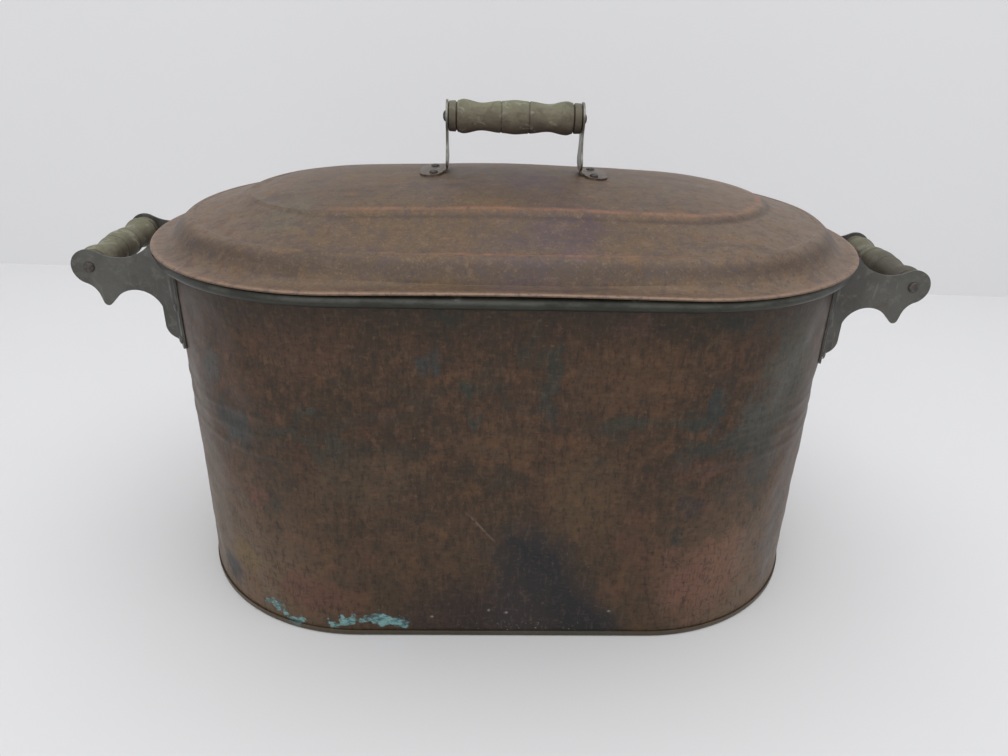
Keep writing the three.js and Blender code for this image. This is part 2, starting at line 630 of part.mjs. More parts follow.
// Stamped in two tiers: an edge turned down, a brim that sits on the rim, a rounded shoulder, a
// slope, and a raised panel behind a sharp riser.
function lidShell() {
  const at = (inset, height) => [LID_RADIUS - inset, height];
  const panel = [1, 0.77, 0.45, 0.16, 0].map((share) => {
    const inset = LID_STEP.inset + share * (LID_RADIUS - LID_STEP.inset);
    return at(inset, lidHeight(inset));
  });
  const shoulderRun = LID_SHOULDER.inset - LID_BRIM.width;
  const shoulder = [90, 67, 45, 22, 0].map((angle) => {
    const inset = LID_SHOULDER.inset - shoulderRun * Math.cos(THREE.MathUtils.degToRad(angle));
    return at(inset, lidHeight(inset));
  });
  const middle = COPPER / 2;
  const path = [
    ...panel,
    at(LID_STEP.inset - LID_STEP.run, LID_STEP.height - LID_STEP.riser - middle),
    at(LID_SHOULDER.inset + LID_CREASE.width, LID_SHOULDER.height - LID_CREASE.depth - middle),
    ...shoulder,
    at(LID_OVERHANG + RIM_ROLL_RADIUS, LID_EDGE.drop + middle),
    ...arc(at(LID_EDGE.radius, LID_EDGE.drop + COPPER - LID_EDGE.radius), LID_EDGE.radius - middle, 90, 0, 3),
    at(middle, 0),
  ];
  const holes = strapRivetSpots().map(([x, y]) =>
    pin(RIVET_RADIUS + FIT, 8 * COPPER, RIVET_STEPS).translate(x, y, lidTop(x)),
  );
  const shell = carriedRound(coverSection(path, COPPER), LID_STRAIGHT_STEPS, lidSag);
  return named("lid_shell", shaped([shell], holes), COPPER_LID);
}

// A strip inside the lid's shoulder that drops inside the rim and keeps the lid in place.
function lidFlange() {
  const radius = RIM_LEG_RADIUS - RIM_SHEET / 2 - LID_FLANGE.slack - COPPER / 2;
  const path = [[radius, -LID_FLANGE.depth], [radius, LID_FLANGE.rise]];
  return named("lid_locating_flange", carriedRound(sheetSection(path, COPPER)), COPPER_LID);
}

// A strap of the lid's handle: a head round the rod, a blade with a waist, a narrow bend, and a
// wide round foot on the lid.
function lidStrap(side) {
  const seat = (out) => lidTop(LID_HANDLE_SHIFT + side * out) + FIT + STRAP_SHEET / 2;
  const toe = STRAP_PLANE + STRAP_FOOT.length;
  const heel = STRAP_PLANE + STRAP_BEND_RADIUS;
  const section = sheetSection(
    [
      [toe, seat(toe)],
      ...arc([heel, seat(heel) + STRAP_BEND_RADIUS], STRAP_BEND_RADIUS, 270, 180, 3),
      [STRAP_PLANE, LID_HANDLE_HEIGHT + 2 * STRAP_HEAD_RADIUS],
    ],
    STRAP_SHEET,
  );
  const band = plateAlongY(section, -2 * STRAP_FOOT.half, 2 * STRAP_FOOT.half);

  const neckReach = STRAP_NECK.half + STRAP_NECK.radius;
  const neckDrop = Math.sqrt((STRAP_HEAD_RADIUS + STRAP_NECK.radius + HAIR) ** 2 - neckReach ** 2);
  const neckZ = LID_HANDLE_HEIGHT - neckDrop;
  const low = LID_SHOULDER.height;
  const joinZ = seat(heel) + STRAP_BEND_RADIUS;
  const bulge = STRAP_BLADE.half - STRAP_BLADE.corner;
  const bulgeZ = joinZ + STRAP_BLADE.corner + STRAP_SHEET;
  const blade = outlineRound([
    [0, LID_HANDLE_HEIGHT, STRAP_HEAD_RADIUS],
    [-neckReach, neckZ, -STRAP_NECK.radius],
    [-bulge, bulgeZ, STRAP_BLADE.corner],
    [-STRAP_HEEL_HALF, joinZ - FIT, 0],
    [STRAP_HEEL_HALF, joinZ - FIT, 0],
    [bulge, bulgeZ, STRAP_BLADE.corner],
    [neckReach, neckZ, -STRAP_NECK.radius],
  ]);
  const corner = STRAP_FOOT.corner;
  const flareX = STRAP_PLANE + STRAP_SHEET / 2;
  const foot = outlineRound([
    [0, -STRAP_HEEL_HALF, 0],
    [flareX, -STRAP_HEEL_HALF, 0],
    [toe - corner, corner - STRAP_FOOT.half, corner],
    [toe - corner, STRAP_FOOT.half - corner, corner],
    [flareX, STRAP_HEEL_HALF, 0],
    [0, STRAP_HEEL_HALF, 0],
  ]);
  const cutter = solidOf(plateAlongX(blade, 0, 2 * toe)).add(solidOf(plateAlongZ(foot, low, joinZ)));
  const rodHole = pin(ROD_RADIUS + FIT, GRIP_LENGTH, ROD_STEPS).rotateY(Math.PI / 2);
  rodHole.translate(STRAP_PLANE, 0, LID_HANDLE_HEIGHT);
  const rivetHoles = [-1, 1].map((end) =>
    pin(RIVET_RADIUS + FIT, 8 * STRAP_SHEET, RIVET_STEPS).translate(
      STRAP_PLANE + STRAP_RIVET.out,
      end * STRAP_RIVET.spread,
      seat(STRAP_PLANE + STRAP_RIVET.out),
    ),
  );
  return shaped([band, geometryOf(cutter)], [rodHole, ...rivetHoles]);
}

function lid() {
  const group = new THREE.Group();
  group.position.z = LID_EDGE_Z;
  group.add(lidShell(), lidFlange());
  for (const [name, side] of [["left", -1], ["right", 1]]) {
    const strap = named(`${name}_lid_strap`, lidStrap(side), STEEL);
    strap.scale.x = side;
    strap.position.x = LID_HANDLE_SHIFT;
    group.add(strap);
  }
  strapRivetSpots().forEach(([x, y], i) => {
    const stud = named(`lid_strap_rivet_${i + 1}`, rivet(STRAP_SHEET + FIT + COPPER + 4 * FIT), STEEL);
    stud.position.set(x, y, lidTop(x) + FIT + STRAP_SHEET + FIT);
    group.add(stud);
  });
  const rod = named("lid_grip_rod", headedRod(STRAP_PLANE + STRAP_SHEET / 2 + FIT), STEEL);
  const handle = named("lid_grip", grip(LID_GRIP_LENGTH), WOOD);
  for (const piece of [rod, handle]) {
    piece.rotation.y = Math.PI / 2;
    piece.position.set(LID_HANDLE_SHIFT, 0, LID_HANDLE_HEIGHT);
    group.add(piece);
  }
  return group;
}

const boiler = new THREE.Group();
boiler.add(
  ...tubWalls(),
  basePan(),
  ...rim(),
  ...endHandle("left", -1, HANDLE_DROP.left),
  ...endHandle("right", 1, HANDLE_DROP.right),
  lid(),
);

export default boiler;
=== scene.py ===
"""The looks of an old copper wash boiler: its dented and tarnished copper tub, rolled iron rim,
stamped ears, turned wooden grips and two-tier lid, on a plain pale floor."""

import math

import bpy
import numpy as np
from mathutils import Matrix, Vector


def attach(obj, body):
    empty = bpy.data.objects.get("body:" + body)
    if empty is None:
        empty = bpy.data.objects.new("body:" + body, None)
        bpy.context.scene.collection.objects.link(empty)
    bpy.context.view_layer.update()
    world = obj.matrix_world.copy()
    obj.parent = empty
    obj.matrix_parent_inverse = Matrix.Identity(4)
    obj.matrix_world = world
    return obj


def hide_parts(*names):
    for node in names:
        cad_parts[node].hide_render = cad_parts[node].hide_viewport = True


bl_info = {
    "name": "Copper wash boiler",
    "version": (1, 0, 0),
    "blender": (4, 5, 0),
    "location": "3D View > Sidebar > Boiler",
    "description": "Builds the surfaces and finishes of an old copper wash boiler",
    "category": "Add Mesh",
}

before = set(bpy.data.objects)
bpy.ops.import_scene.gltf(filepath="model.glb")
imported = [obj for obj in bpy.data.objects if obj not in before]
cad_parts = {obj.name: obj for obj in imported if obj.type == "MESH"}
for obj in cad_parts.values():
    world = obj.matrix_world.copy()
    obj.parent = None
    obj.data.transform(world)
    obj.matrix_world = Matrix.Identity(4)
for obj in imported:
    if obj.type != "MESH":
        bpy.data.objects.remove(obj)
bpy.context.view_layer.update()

# Shapes are worked out in millimetres and stored in metres.
MM = 0.001

# Tub and rim.
STRAIGHT_HALF = 123.2
WALL_RADIUS = 158.3
COPPER = 1.0
FIT = 0.3
BASE_BEND_RADIUS = 1.5
BASE_LIP_HEIGHT = 5.5
BEAD_HEIGHTS = (170.0, 186.0, 202.0)
BEAD_WIDTH = 11.0
LAP_WIDTH = 12.0
LAP_SLOPE_WIDTH = 7.0
RIM_TOP = 311.6
RIM_SHEET = 1.0
RIM_ROLL_RADIUS = 5.2
RIM_ROLL_REACH = 12.2
RIM_SHOULDER_RADIUS = 3.0
RIM_LEG_DEPTH = 16.0
RIM_CENTRE = (WALL_RADIUS + RIM_ROLL_REACH - RIM_ROLL_RADIUS, RIM_TOP - RIM_ROLL_RADIUS)
RIM_OUTER_RADIUS = WALL_RADIUS + RIM_ROLL_REACH
RIM_LEG_RADIUS = WALL_RADIUS - COPPER - FIT - RIM_SHEET / 2

# Lid: insets run inwards from its edge, heights upwards from its lower edge.
LID_OVERHANG = 1.3
LID_RADIUS = RIM_OUTER_RADIUS + LID_OVERHANG
LID_EDGE_RADIUS = 1.9
LID_EDGE_DROP = 0.4
LID_BRIM = (17.5, 2.5)
LID_SHOULDER = (35.4, 20.9)
LID_SHOULDER_POWERS = (1.6, 0.7)
LID_CREASE = (0.8, 0.4)
LID_STEP = (80.9, 40.6)
LID_RISER = (2.9, 3.0)
LID_EDGE_Z = RIM_TOP + FIT - LID_EDGE_DROP
LID_TOP_HEIGHT = 52.8
LID_SWELL = 1.9
LID_RIDGE_DROP = 3.75
LID_RIDGE_POWER = 1.21
LID_RIDGE_PEAK = 1.1
LID_COVE = (8.0, 1.6)

# Wear of the step round the lid's panel: bells with a height, a distance outside it and a width.
LID_WORN_BELLS = ((1.9, 3.5, 6.0), (-1.4, -5.0, 8.0))

LID_STRIP_SLACK = 3.4
LID_STRIP_RADIUS = RIM_LEG_RADIUS - RIM_SHEET / 2 - LID_STRIP_SLACK - COPPER / 2
LID_STRIP_ENDS = (-14.0, 4.0)

# Grips, rods and rivets.
GRIP_LENGTH = 113.6
LID_GRIP_LENGTH = 108.2
GRIP_END_SLACK = 0.5
GRIP_SEAT = GRIP_LENGTH / 2 + GRIP_END_SLACK

# A grip's section: places as shares of half its length, the radius at each, and its grooves, each
# with a place and a depth.
GRIP_PLACES = (0, 0.21, 0.5, 0.78, 0.88, 1.0)
GRIP_RADII = (13.5, 12.7, 11.0, 13.5, 12.2, 12.0)
GRIP_GROOVES = ((0.21, 0.6), (0.88, 1.4))
GRIP_GROOVE_HALF = 1.0
GRIP_END_ROUND = 0.8
GRIP_BORE_SLACK = 0.5

ROD_RADIUS = 3.0
ROD_HEAD = (4.4, 2.4)
RIVET_RADIUS = 1.9
RIVET_HEAD = (3.6, 1.8)
RIVET_TAIL = (3.0, 1.0)
HANDLE_REACH = STRAIGHT_HALF + WALL_RADIUS + 54.3
HANDLE_Z = {"left": RIM_TOP - 19.7, "right": RIM_TOP - 25.1}

# Ears.
EAR_SHEET = 1.8
EAR_PLANE = GRIP_SEAT + EAR_SHEET / 2
EAR_BEND_RADIUS = 7.0
EAR_FLANGE_RADIUS = WALL_RADIUS + FIT + EAR_SHEET / 2
EAR_FLANGE_WIDTH = 18.0
EAR_BEND_ANGLE = math.asin((EAR_PLANE + EAR_BEND_RADIUS) / (EAR_FLANGE_RADIUS + EAR_BEND_RADIUS))
EAR_END_ANGLE = EAR_BEND_ANGLE + EAR_FLANGE_WIDTH / EAR_FLANGE_RADIUS
EAR_RIVET_ANGLE = EAR_END_ANGLE - 7.0 / EAR_FLANGE_RADIUS
EAR_RIVET_DROPS = (0.0, 28.0, 56.0)
EAR_RIVET_GRIP = 4.4

# An ear's outline, as circles that it runs round: radii, and how far their centres lie below the
# rod's axis unless another place is named.
EAR_KNOB_RADIUS = 14.3
EAR_NECK_RADIUS = 35.0
EAR_FLANK_RADIUS = 15.3
EAR_FLANK_LEAN = math.radians(20.2)
EAR_HORN_RADIUS = 3.5
EAR_HORN_FROM_FLANK = (19.8, 1.0)
EAR_ARCH_MOST = 21.0
EAR_ARCH_DROP = 39.7
EAR_TAB_RADIUS = 13.0
EAR_TAB_DROP = 48.7
EAR_CORNER = 1.5
EAR_TOP_BELOW_RIM = 2.5
EAR_FOOT_CORNER = 5.0
EAR_FOOT_DROP = 63.7

# Lid handle.
LID_HANDLE_SHIFT = 4.0
LID_HANDLE_Z = LID_EDGE_Z + 94.8
STRAP_SHEET = 1.6
STRAP_PLANE = LID_GRIP_LENGTH / 2 + GRIP_END_SLACK + STRAP_SHEET / 2
STRAP_HEAD_RADIUS = 12.9
STRAP_NECK = (9.0, 20.0)
STRAP_BLADE = (16.0, 4.0)
STRAP_HEEL_HALF = 9.5
STRAP_FOOT_HALF = 21.0
STRAP_FOOT_LENGTH = 22.5
STRAP_FOOT_CORNER = 9.5
STRAP_BEND_RADIUS = 3.5
STRAP_RIVET_OUT = 11.0
STRAP_RIVET_SPREAD = 13.3
STRAP_RIVET_GRIP = 3.5

# How far the bends are rounded in the sections of sheets, and in the lid's.
SHEET_BLUR = 0.3
LID_BLUR = 0.55

# What is left between the circles of an outline that would touch.
HAIR = 0.01

# Points this near to each other are joined, in metres, and edges from this angle on are sharp.
JOIN_DISTANCE = 2e-6
SHARP_ANGLE = math.radians(50)


def tone(code):
    """A colour written as six hexadecimal digits, as linear red, green and blue."""
    parts = np.array([int(code[i : i + 2], 16) for i in (0, 2, 4)]) / 255
    return tuple(np.where(parts <= 0.04045, parts / 12.92, ((parts + 0.055) / 1.055) ** 2.4))


# ---- surfaces ----


def ramp(value, start, full):
    """Rises from 0 to 1 between two values, level at both ends."""
    share = np.clip((value - start) / (full - start), 0, 1)
    return share * share * (3 - 2 * share)


def hump(away, half):
    """A cosine wave's crest: 1 where away is 0, and 0 from half on both sides."""
    return np.where(abs(away) < half, 0.5 + 0.5 * np.cos(math.pi * away / half), 0)


def ripples(u, v, length, seed, count=9):
    """A smooth uneven field from about -1 to 1: the mean of cosine waves in many directions, with
    wavelengths from 0.6 to 1.6 times the given length, scaled by the root of their number."""
    rng = np.random.default_rng(seed)
    total = np.zeros(np.broadcast(u, v).shape)
    for _ in range(count):
        turn = rng.uniform(0, math.pi)
        wave = 2 * math.pi / (length * rng.uniform(0.6, 1.6))
        phase = rng.uniform(0, 2 * math.pi)
        total = total + np.cos(wave * (u * math.cos(turn) + v * math.sin(turn)) + phase)
    return total / math.sqrt(2 * count)


def together(*parts):
    """Points from their coordinates, each an array or a number."""
    return np.stack(np.broadcast_arrays(*parts), -1)


def travelled(x, y):
    """Length along a line of points, up to each of them."""
    return np.concatenate([[0], np.cumsum(np.hypot(np.diff(x), np.diff(y)))])


def arc(centre, radius, start, end, steps):
    """Points on a circle from one angle to another, in degrees."""
    angle = np.radians(np.linspace(start, end, steps))
    return together(centre[0] + radius * np.cos(angle), centre[1] + radius * np.sin(angle))


def eased_path(path, blur, count):
    """A path of [u, v] points with its corners rounded: it is divided evenly, averaged with a bell
    curve as wide as blur, and thinned to count points that stand closest where it bends."""
    spacing, straight_share = 0.25, 1 / 64
    length = travelled(*path.T)
    even = np.linspace(0, length[-1], int(length[-1] / spacing) + 2)
    line = together(*(np.interp(even, length, part) for part in path.T))
    reach = int(3 * blur / spacing)
    bell = np.exp(-0.5 * (np.arange(-reach, reach + 1) * spacing / blur) ** 2)
    bell /= bell.sum()
    head = 2 * line[0] - line[reach:0:-1]
    tail = 2 * line[-1] - line[-2 : -reach - 2 : -1]
    longer = np.concatenate([head, line, tail])
    line = together(*(np.convolve(part, bell, "valid") for part in longer.T))
    heading = np.unwrap(np.arctan2(*np.gradient(line, axis=0).T[::-1]))
    need = np.abs(np.gradient(heading)) + straight_share
    total = np.concatenate([[0], np.cumsum((need[1:] + need[:-1]) / 2)])
    pick = np.interp(np.linspace(0, total[-1], count), total, np.arange(len(line)))
    return together(*(np.interp(pick, np.arange(len(line)), part) for part in line.T))


def normals(path):
    """The direction to the left of a path at each of its points."""
    step = np.gradient(path, axis=0)
    return together(-step[:, 1], step[:, 0]) / np.hypot(*step.T)[:, None]


def sheet_loop(path, thickness):
    """The closed section of a sheet: the path moved half the thickness along its normal to one
    side, and back along the other."""
    half = normals(path) * thickness / 2
    return np.concatenate([path + half, (path - half)[::-1]])


def around(end_steps, straight_steps):
    """Columns once round the tub's plan, anticlockwise: the place on its middle line that each
    one starts from, and its direction."""
    angle = np.linspace(-math.pi / 2, math.pi / 2, end_steps + 1)
    ease = np.linspace(1, -1, straight_steps + 1)[1:-1]
    start = STRAIGHT_HALF * np.concatenate([0 * angle + 1, ease, 0 * angle - 1, -ease])
    dx = np.concatenate([np.cos(angle), 0 * ease, -np.cos(angle), 0 * ease])
    dy = np.concatenate([np.sin(angle), 0 * ease + 1, -np.sin(angle), 0 * ease - 1])
    return start, dx, dy


def carried_round(columns, section, lift=None):
    """A section of [radius, height] points carried round the plan: each column leaves the middle
    line in its own direction. Lift is added to the height."""
    start, dx, dy = (part[:, None] for part in columns)
    radius, z = section[None, :, 0], section[None, :, 1]
    x, y = start + radius * dx, radius * dy
    return together(x, y, z + lift(radius, x, y) if lift else z)


def turned(profile, steps, centre, axis, wear=0.0, seed=0):
    """A profile of [radius, height] points turned about an axis through a centre, with up to twice
    the share wear taken off its radius here and there."""
    angle = np.linspace(0, 2 * math.pi, steps, endpoint=False)[:, None]
    radius, w = profile[None, :, 0], profile[None, :, 1]
    radius = radius * (1 - wear * (1 + np.tanh(ripples(12 * angle, w, 30, seed))))
    u, v = radius * np.cos(angle), radius * np.sin(angle)
    return together(*{"x": (w, u, v), "y": (v, w, u), "z": (u, v, w)}[axis]) + centre


def grid_faces(shape, wrap_rows, wrap_columns):
    """Quads of a grid of points, joined end to end where a direction wraps."""
    rows, columns = shape[:2]
    i = np.arange(rows if wrap_rows else rows - 1)[:, None]
    j = np.arange(columns if wrap_columns else columns - 1)[None, :]
    ni, nj = (i + 1) % rows, (j + 1) % columns
    corners = (i * columns + j, ni * columns + j, ni * columns + nj, i * columns + nj)
    return together(*corners).reshape(-1, 4)


def joined(*grids, closed=False):
    """Points and faces of grids that go once round in their first direction, and also in their
    second one where they are closed."""
    points, faces, count = [], [], 0
    for grid in grids:
        faces.append(grid_faces(grid.shape, True, closed) + count)
        points.append(grid.reshape(-1, 3))
        count += len(points[-1])
    return np.concatenate(points), np.concatenate(faces)


def shell(front, back):
    """Points and faces of a sheet given as two grids of points, one on each side, closed along
    its edges."""
    rows, columns = front.shape[:2]
    count = rows * columns
    faces = grid_faces(front.shape, False, False)
    index = np.arange(count).reshape(rows, columns)
    ring = np.concatenate([index[0, :-1], index[:-1, -1], index[-1, :0:-1], index[:0:-1, 0]])
    following = np.roll(ring, -1)
    edge = together(ring, following, following + count, ring + count)
    points = np.concatenate([front.reshape(-1, 3), back.reshape(-1, 3)])
    return points, np.concatenate([faces[:, ::-1], faces + count, edge])


def make_piece(name, shape, body, node_names, material, bevel=0.0):
    """A mesh object from points in millimetres and their quads, with equal points joined and faces
    turned out. It rides on a body and stands in for nodes of the plain part."""
    points, faces = shape
    mesh = bpy.data.meshes.new(name)
    mesh.from_pydata(points * MM, [], faces)
    piece = bpy.data.objects.new(name, mesh)
    bpy.context.scene.collection.objects.link(piece)
    bpy.context.view_layer.objects.active = piece
    for other in bpy.context.selected_objects:
        other.select_set(False)
    piece.select_set(True)
    bpy.ops.object.mode_set(mode="EDIT")
    bpy.ops.mesh.select_all(action="SELECT")
    bpy.ops.mesh.remove_doubles(threshold=JOIN_DISTANCE)
    bpy.ops.mesh.normals_make_consistent(inside=False)
    bpy.ops.object.mode_set(mode="OBJECT")
    mesh.shade_smooth()
    mesh.set_sharp_from_angle(angle=SHARP_ANGLE)
    if bevel:
        soften = piece.modifiers.new("edges", "BEVEL")
        soften.width, soften.segments = bevel * MM, 2
        soften.limit_method, soften.angle_limit = "ANGLE", SHARP_ANGLE
    mesh.materials.append(material)
    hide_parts(*node_names)
    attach(piece, body)


# ---- finishes ----


class Field:
    """A socket whose value varies over a surface. Arithmetic on it adds Math nodes."""

    def __init__(self, finish, socket):
        self.finish, self.socket = finish, socket

    def math(self, operation, *values):
        return self.finish.field("ShaderNodeMath", dict(enumerate(values)), operation=operation)

    def __add__(self, other):
        return self.math("ADD", self, other)

    def __sub__(self, other):
        return self.math("SUBTRACT", self, other)

    def __mul__(self, other):
        return self.math("MULTIPLY", self, other)

    def __rsub__(self, other):
        return self.math("SUBTRACT", other, self)

    def __pow__(self, other):
        return self.math("POWER", self, other)

    def __abs__(self):
        return self.math("ABSOLUTE", self)

    __radd__ = __add__
    __rmul__ = __mul__

    def at_least(self, other):
        return self.math("MAXIMUM", self, other)

    def at_most(self, other):
        return self.math("MINIMUM", self, other)

    def between(self, low, high):
        """0 below low, 1 above high, smooth between; low above high turns it round."""
        sockets = {"Value": self, "From Min": low, "From Max": high}
        return self.finish.field("ShaderNodeMapRange", sockets, interpolation_type="SMOOTHSTEP")

    def near(self, place, width):
        """1 at a value and 0 further than width from it."""
        return abs(self - place).between(width, 0)


class Finish:
    """A procedural material, and the nodes that it is made of."""

    def __init__(self, name):
        self.material = bpy.data.materials.new(name)
        self.material.use_nodes = True
        self.tree = self.material.node_tree
        self.tree.nodes.clear()
        self.surface = self.node("ShaderNodeBsdfPrincipled")
        output = self.node("ShaderNodeOutputMaterial")
        self.tree.links.new(self.surface.outputs[0], output.inputs[0])
        self.place = self.node("ShaderNodeTexCoord").outputs["Object"]
        self.x, self.y, self.z = self.parts(self.place)

    def feed(self, socket, value):
        """Links a socket to a varying value, or sets it to a number, a vector or a colour."""
        value = value.socket if isinstance(value, Field) else value
        if isinstance(value, bpy.types.NodeSocket):
            self.tree.links.new(value, socket)
        else:
            socket.default_value = (*value, 1.0) if socket.type == "RGBA" else value

    def node(self, kind, sockets=None, **settings):
        """A new node with the values or links of its sockets, and its settings."""
        made = self.tree.nodes.new(kind)
        for key, value in settings.items():
            setattr(made, key, value)
        for key, value in (sockets or {}).items():
            self.feed(made.inputs[key], value)
        return made

    def field(self, kind, sockets, **settings):
        """The first output of a new node, as a field."""
        return Field(self, self.node(kind, sockets, **settings).outputs[0])

    def parts(self, vector):
        """The three parts of a vector, as fields."""
        split = self.node("ShaderNodeSeparateXYZ", {0: vector})
        return [Field(self, socket) for socket in split.outputs]

    def mapped(self, stretch=(1, 1, 1), shift=(0, 0, 0)):
        """Object coordinates, stretched and shifted."""
        sockets = {"Vector": self.place, "Location": shift, "Scale": stretch}
        return self.node("ShaderNodeMapping", sockets).outputs[0]

    def noise(self, size, detail=4.0, rough=0.55, stretch=(1, 1, 1), shift=(0, 0, 0), warp=0.0):
        """Noise from 0 to 1 whose patches are about size metres across."""
        sockets = {
            "Vector": self.mapped(stretch, shift),
            "Scale": 1 / size,
            "Detail": detail,
            "Roughness": rough,
            "Distortion": warp,
        }
        return self.field("ShaderNodeTexNoise", sockets)

    def vector(self, operation, *values):
        """One Vector Math node's result."""
        node = self.node("ShaderNodeVectorMath", dict(enumerate(values)), operation=operation)
        return node.outputs["Value" if operation == "LENGTH" else "Vector"]

    def warped(self, size, amount, shift=(0, 0, 0)):
        """Object coordinates pushed about by noise: amount is the whole width of the push."""
        sockets = {"Vector": self.mapped(shift=shift), "Scale": 1 / size}
        sockets = {**sockets, "Detail": 4.0, "Roughness": 0.6}
        push = self.node("ShaderNodeTexNoise", sockets).outputs["Color"]
        push = self.vector("SUBTRACT", push, (0.5, 0.5, 0.5))
        push = self.vector("MULTIPLY", push, (amount, amount, amount))
        return self.vector("ADD", self.place, push)

    def stain(self, place, centre, along, up, soft=0.75):
        """1 inside a patch round a centre in millimetres and 0 outside it, with soft edges."""
        away = self.vector("SUBTRACT", place, tuple(MM * part for part in centre))
        reach = (MM * along, MM * along, MM * up)
        away = self.vector("LENGTH", self.vector("DIVIDE", away, reach))
        return Field(self, away).between(1 + soft, 1 - soft)

    def mix(self, factor, one, other):
        """One colour where the factor is 0 and the other where it is 1."""
        sockets = {0: factor, 6: one, 7: other}
        return self.node("ShaderNodeMix", sockets, data_type="RGBA").outputs[2]

    def ground(self, factor, one, other):
        """Starts the colour with one tone where the factor is 0 and another where it is 1."""
        self.color = self.mix(factor, tone(one), tone(other))

    def lay(self, factor, other):
        """Lays a tone or a varying colour over the colour so far, by a factor."""
        self.color = self.mix(factor, self.color, tone(other) if isinstance(other, str) else other)

    def layers(self, *rows):
        """Lays tones in turn, each by a field, where it starts, where it is full, and its cover."""
        for field, low, high, most, code in rows:
            self.lay(field.between(low, high) * most, code)

    def finished(self, roughness, metallic, height=None, distance=0, strength=0, specular=0.5):
        """Sets the surface: height in units of distance metres feeds its bump."""
        values = {"Base Color": self.color, "Roughness": roughness, "Metallic": metallic}
        values["Specular IOR Level"] = specular
        if height is not None:
            sockets = {"Height": height, "Distance": distance, "Strength": strength}
            values["Normal"] = self.node("ShaderNodeBump", sockets).outputs[0]
        for key, value in values.items():
            self.feed(self.surface.inputs[key], value)
        return self.material


# Stains on the front of the tub: colour, strength, place on the wall, and half their extent along
# the wall and upwards, in millimetres.
STAINS = (
    ("5a3f30", 0.45, (-150, -157, 268), 44, 24),
    ("5b402b", 0.50, (90, -158, 250), 50, 36),
    ("5e4530", 0.45, (-10, -158, 190), 34, 14),
    ("5f4932", 0.50, (60, -158, 140), 32, 46),
    ("574838", 0.40, (-113, -158, 155), 44, 28),
    ("73603f", 0.65, (-223, -124, 58), 16, 20),
    ("694438", 0.60, (-200, -139, 131), 9, 8),
    ("664236", 0.65, (-165, -151, 42), 34, 18),
    ("745142", 0.75, (165, -152, 55), 38, 46),
    ("765644", 0.65, (192, -143, 78), 20, 28),
    ("5f4038", 0.60, (84, -158, 286), 14, 8),
    ("5e3f36", 0.55, (150, -156, 168), 26, 9),
    ("45463d", 0.75, (218, -127, 240), 30, 56),
    ("43453f", 0.80, (192, -143, 200), 20, 30),
    ("57514f", 0.60, (240, -104, 70), 22, 60),
    ("665a4c", 0.60, (-252, -93, 130), 22, 120),
    ("363b3b", 0.85, (-214, -130, 190), 17, 18),
    ("404645", 0.70, (-229, -118, 236), 10, 16),
    ("292d2e", 0.85, (-241, -106, 30), 13, 16),
    ("333835", 0.80, (-152, -156, 217), 9, 8),
    ("33342c", 0.75, (-168, -151, 192), 26, 7),
    ("36362e", 0.65, (-135, -157, 180), 18, 12),
    ("323932", 0.80, (-45, -158, 293), 9, 7),
    ("333b3c", 0.75, (-62, -158, 256), 9, 8),
    ("30362e", 0.80, (-31, -158, 234), 6, 9),
    ("2f3430", 0.80, (-24, -158, 209), 7, 9),
    ("34352b", 0.75, (14, -158, 268), 9, 14),
    ("2e322b", 0.85, (30, -158, 250), 9, 24),
    ("333430", 0.75, (31, -158, 222), 8, 18),
    ("32352d", 0.80, (88, -158, 208), 26, 7),
    ("323731", 0.80, (134, -158, 210), 14, 6),
    ("2d3534", 0.85, (155, -155, 222), 8, 15),
    ("2f342f", 0.80, (162, -154, 188), 30, 7),
    ("333733", 0.75, (132, -158, 177), 10, 9),
    ("2c312e", 0.80, (157, -155, 290), 14, 7),
    ("3a3b36", 0.75, (207, -134, 158), 13, 42),
    ("2b2c28", 0.80, (-183, -146, 96), 7, 11),
    ("33312b", 0.70, (-187, -145, 128), 9, 15),
    ("2b2e2c", 0.80, (144, -157, 104), 7, 8),
    ("3b3232", 0.65, (144, -157, 131), 11, 9),
)


